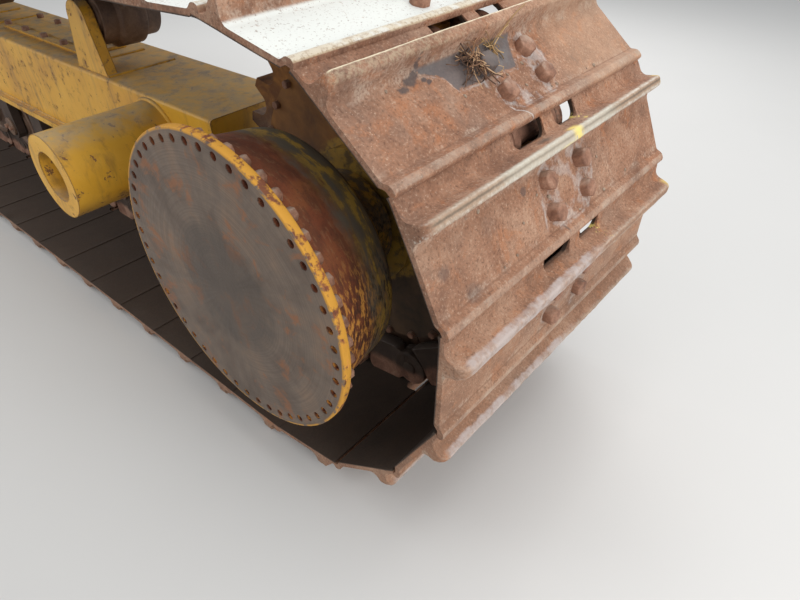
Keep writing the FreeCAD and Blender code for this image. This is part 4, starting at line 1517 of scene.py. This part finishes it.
makeStraw()
makeClods()
print("scene: stalks and mud laid")


# the solids that stay get their finishes

for node, finish in {
    "track_chain": "chain", "sprocket_segments": "sprocket", "sprocket_hub": "hub", "sprocket_cover": "hub",
    "final_drive_case": "drive", "idler_wheel": "wheel", "track_rollers": "wheel", "carrier_1": "wheel",
    "carrier_2": "wheel", "idler_shaft": "wheel", "roller_mounts": "chain", "roller_frame": "yellow",
    "roller_bed": "yellow", "pivot_boss": "yellow", "equalizer_saddle": "yellow", "idler_block_in": "wheel",
    "idler_block_out": "wheel", "fork_arm_in": "yellow", "fork_arm_out": "yellow", "guide_guard_rear_in": "yellow",
    "guide_guard_rear_out": "yellow", "guide_guard_front_in": "yellow", "guide_guard_front_out": "yellow",
    "carrier_mount_1": "yellow", "carrier_mount_2": "yellow",
}.items():
    nodes[node].data.materials.clear()
    nodes[node].data.materials.append(finishes[finish])


# floor, light and camera

studio = {
    "floor": 14.0,
    "worldLight": 0.62,
    "lamps": [
        ((-3.6, 0.2, 1.5), (-0.3, -0.5, 0.0), 2.6, 90.0),
        ((-0.8, -0.6, 3.8), (0.0, -0.5, 0.0), 2.4, 60.0),
        ((1.6, -3.8, 2.6), (1.4, -0.5, 0.0), 3.0, 90.0),
        ((4.8, 2.6, 2.8), (2.4, -0.5, 0.0), 3.0, 80.0),
    ],
    "eye": (-0.917, 0.5017, 0.7355),
    "lens": 27.15,
    "right": (-0.756877551, -0.6533082364, -0.0180200179),
    "up": (0.3924647766, -0.4763840859, 0.7867843427),
    "back": (-0.5225971411, 0.5884271841, 0.6169648913),
}

deselect()
bpy.ops.mesh.primitive_plane_add(size=studio["floor"], location=(1.6, 0, ground - 0.0005))
floor = named("floor")
pale = Paint("paleFloor", rough=0.9)
tone = pale.mix(pale.noise(2.0, 3.0) * 0.3, (0.62, 0.61, 0.59), (0.56, 0.55, 0.53))
floor.data.materials.append(pale.finish(Base_Color=tone))

world = bpy.data.worlds.new("soft")
bpy.context.scene.world = world
world.use_nodes = True
tree = world.node_tree
tree.nodes.clear()
ray = tree.nodes.new("ShaderNodeLightPath")
glow = tree.nodes.new("ShaderNodeBackground")
glow.inputs["Color"].default_value = (0.93, 0.96, 1.0, 1)
glow.inputs["Strength"].default_value = studio["worldLight"]
backdrop = tree.nodes.new("ShaderNodeBackground")
backdrop.inputs["Color"].default_value = (0.72, 0.73, 0.74, 1)
blend = tree.nodes.new("ShaderNodeMixShader")
seen = ray.outputs["Is Camera Ray"]
for other in ("Is Glossy Ray", "Is Transmission Ray"):
    added = tree.nodes.new("ShaderNodeMath")
    added.operation = "ADD"
    added.use_clamp = True
    tree.links.new(seen, added.inputs[0])
    tree.links.new(ray.outputs[other], added.inputs[1])
    seen = added.outputs[0]
tree.links.new(seen, blend.inputs[0])
tree.links.new(glow.outputs[0], blend.inputs[1])
tree.links.new(backdrop.outputs[0], blend.inputs[2])
tree.links.new(blend.outputs[0], tree.nodes.new("ShaderNodeOutputWorld").inputs[0])

for place, aim, size, power in studio["lamps"]:
    deselect()
    turn = (Vector(aim) - Vector(place)).to_track_quat("-Z", "Y").to_euler()
    bpy.ops.object.light_add(type="AREA", location=place, rotation=turn)
    lamp = bpy.context.object
    lamp.data.size = size
    lamp.data.energy = power

deselect()
bpy.ops.object.camera_add(location=studio["eye"])
camera = bpy.context.object
axes = Matrix((Vector(studio["right"]), Vector(studio["up"]), Vector(studio["back"]))).transposed()
camera.matrix_world = Matrix.Translation(Vector(studio["eye"])) @ axes.to_4x4()
camera.data.lens = studio["lens"]
camera.data.sensor_width = 36.0
camera.data.clip_start = 0.02
bpy.context.scene.camera = camera
bpy.context.scene.view_settings.view_transform = "Standard"
print("scene: light and camera set")
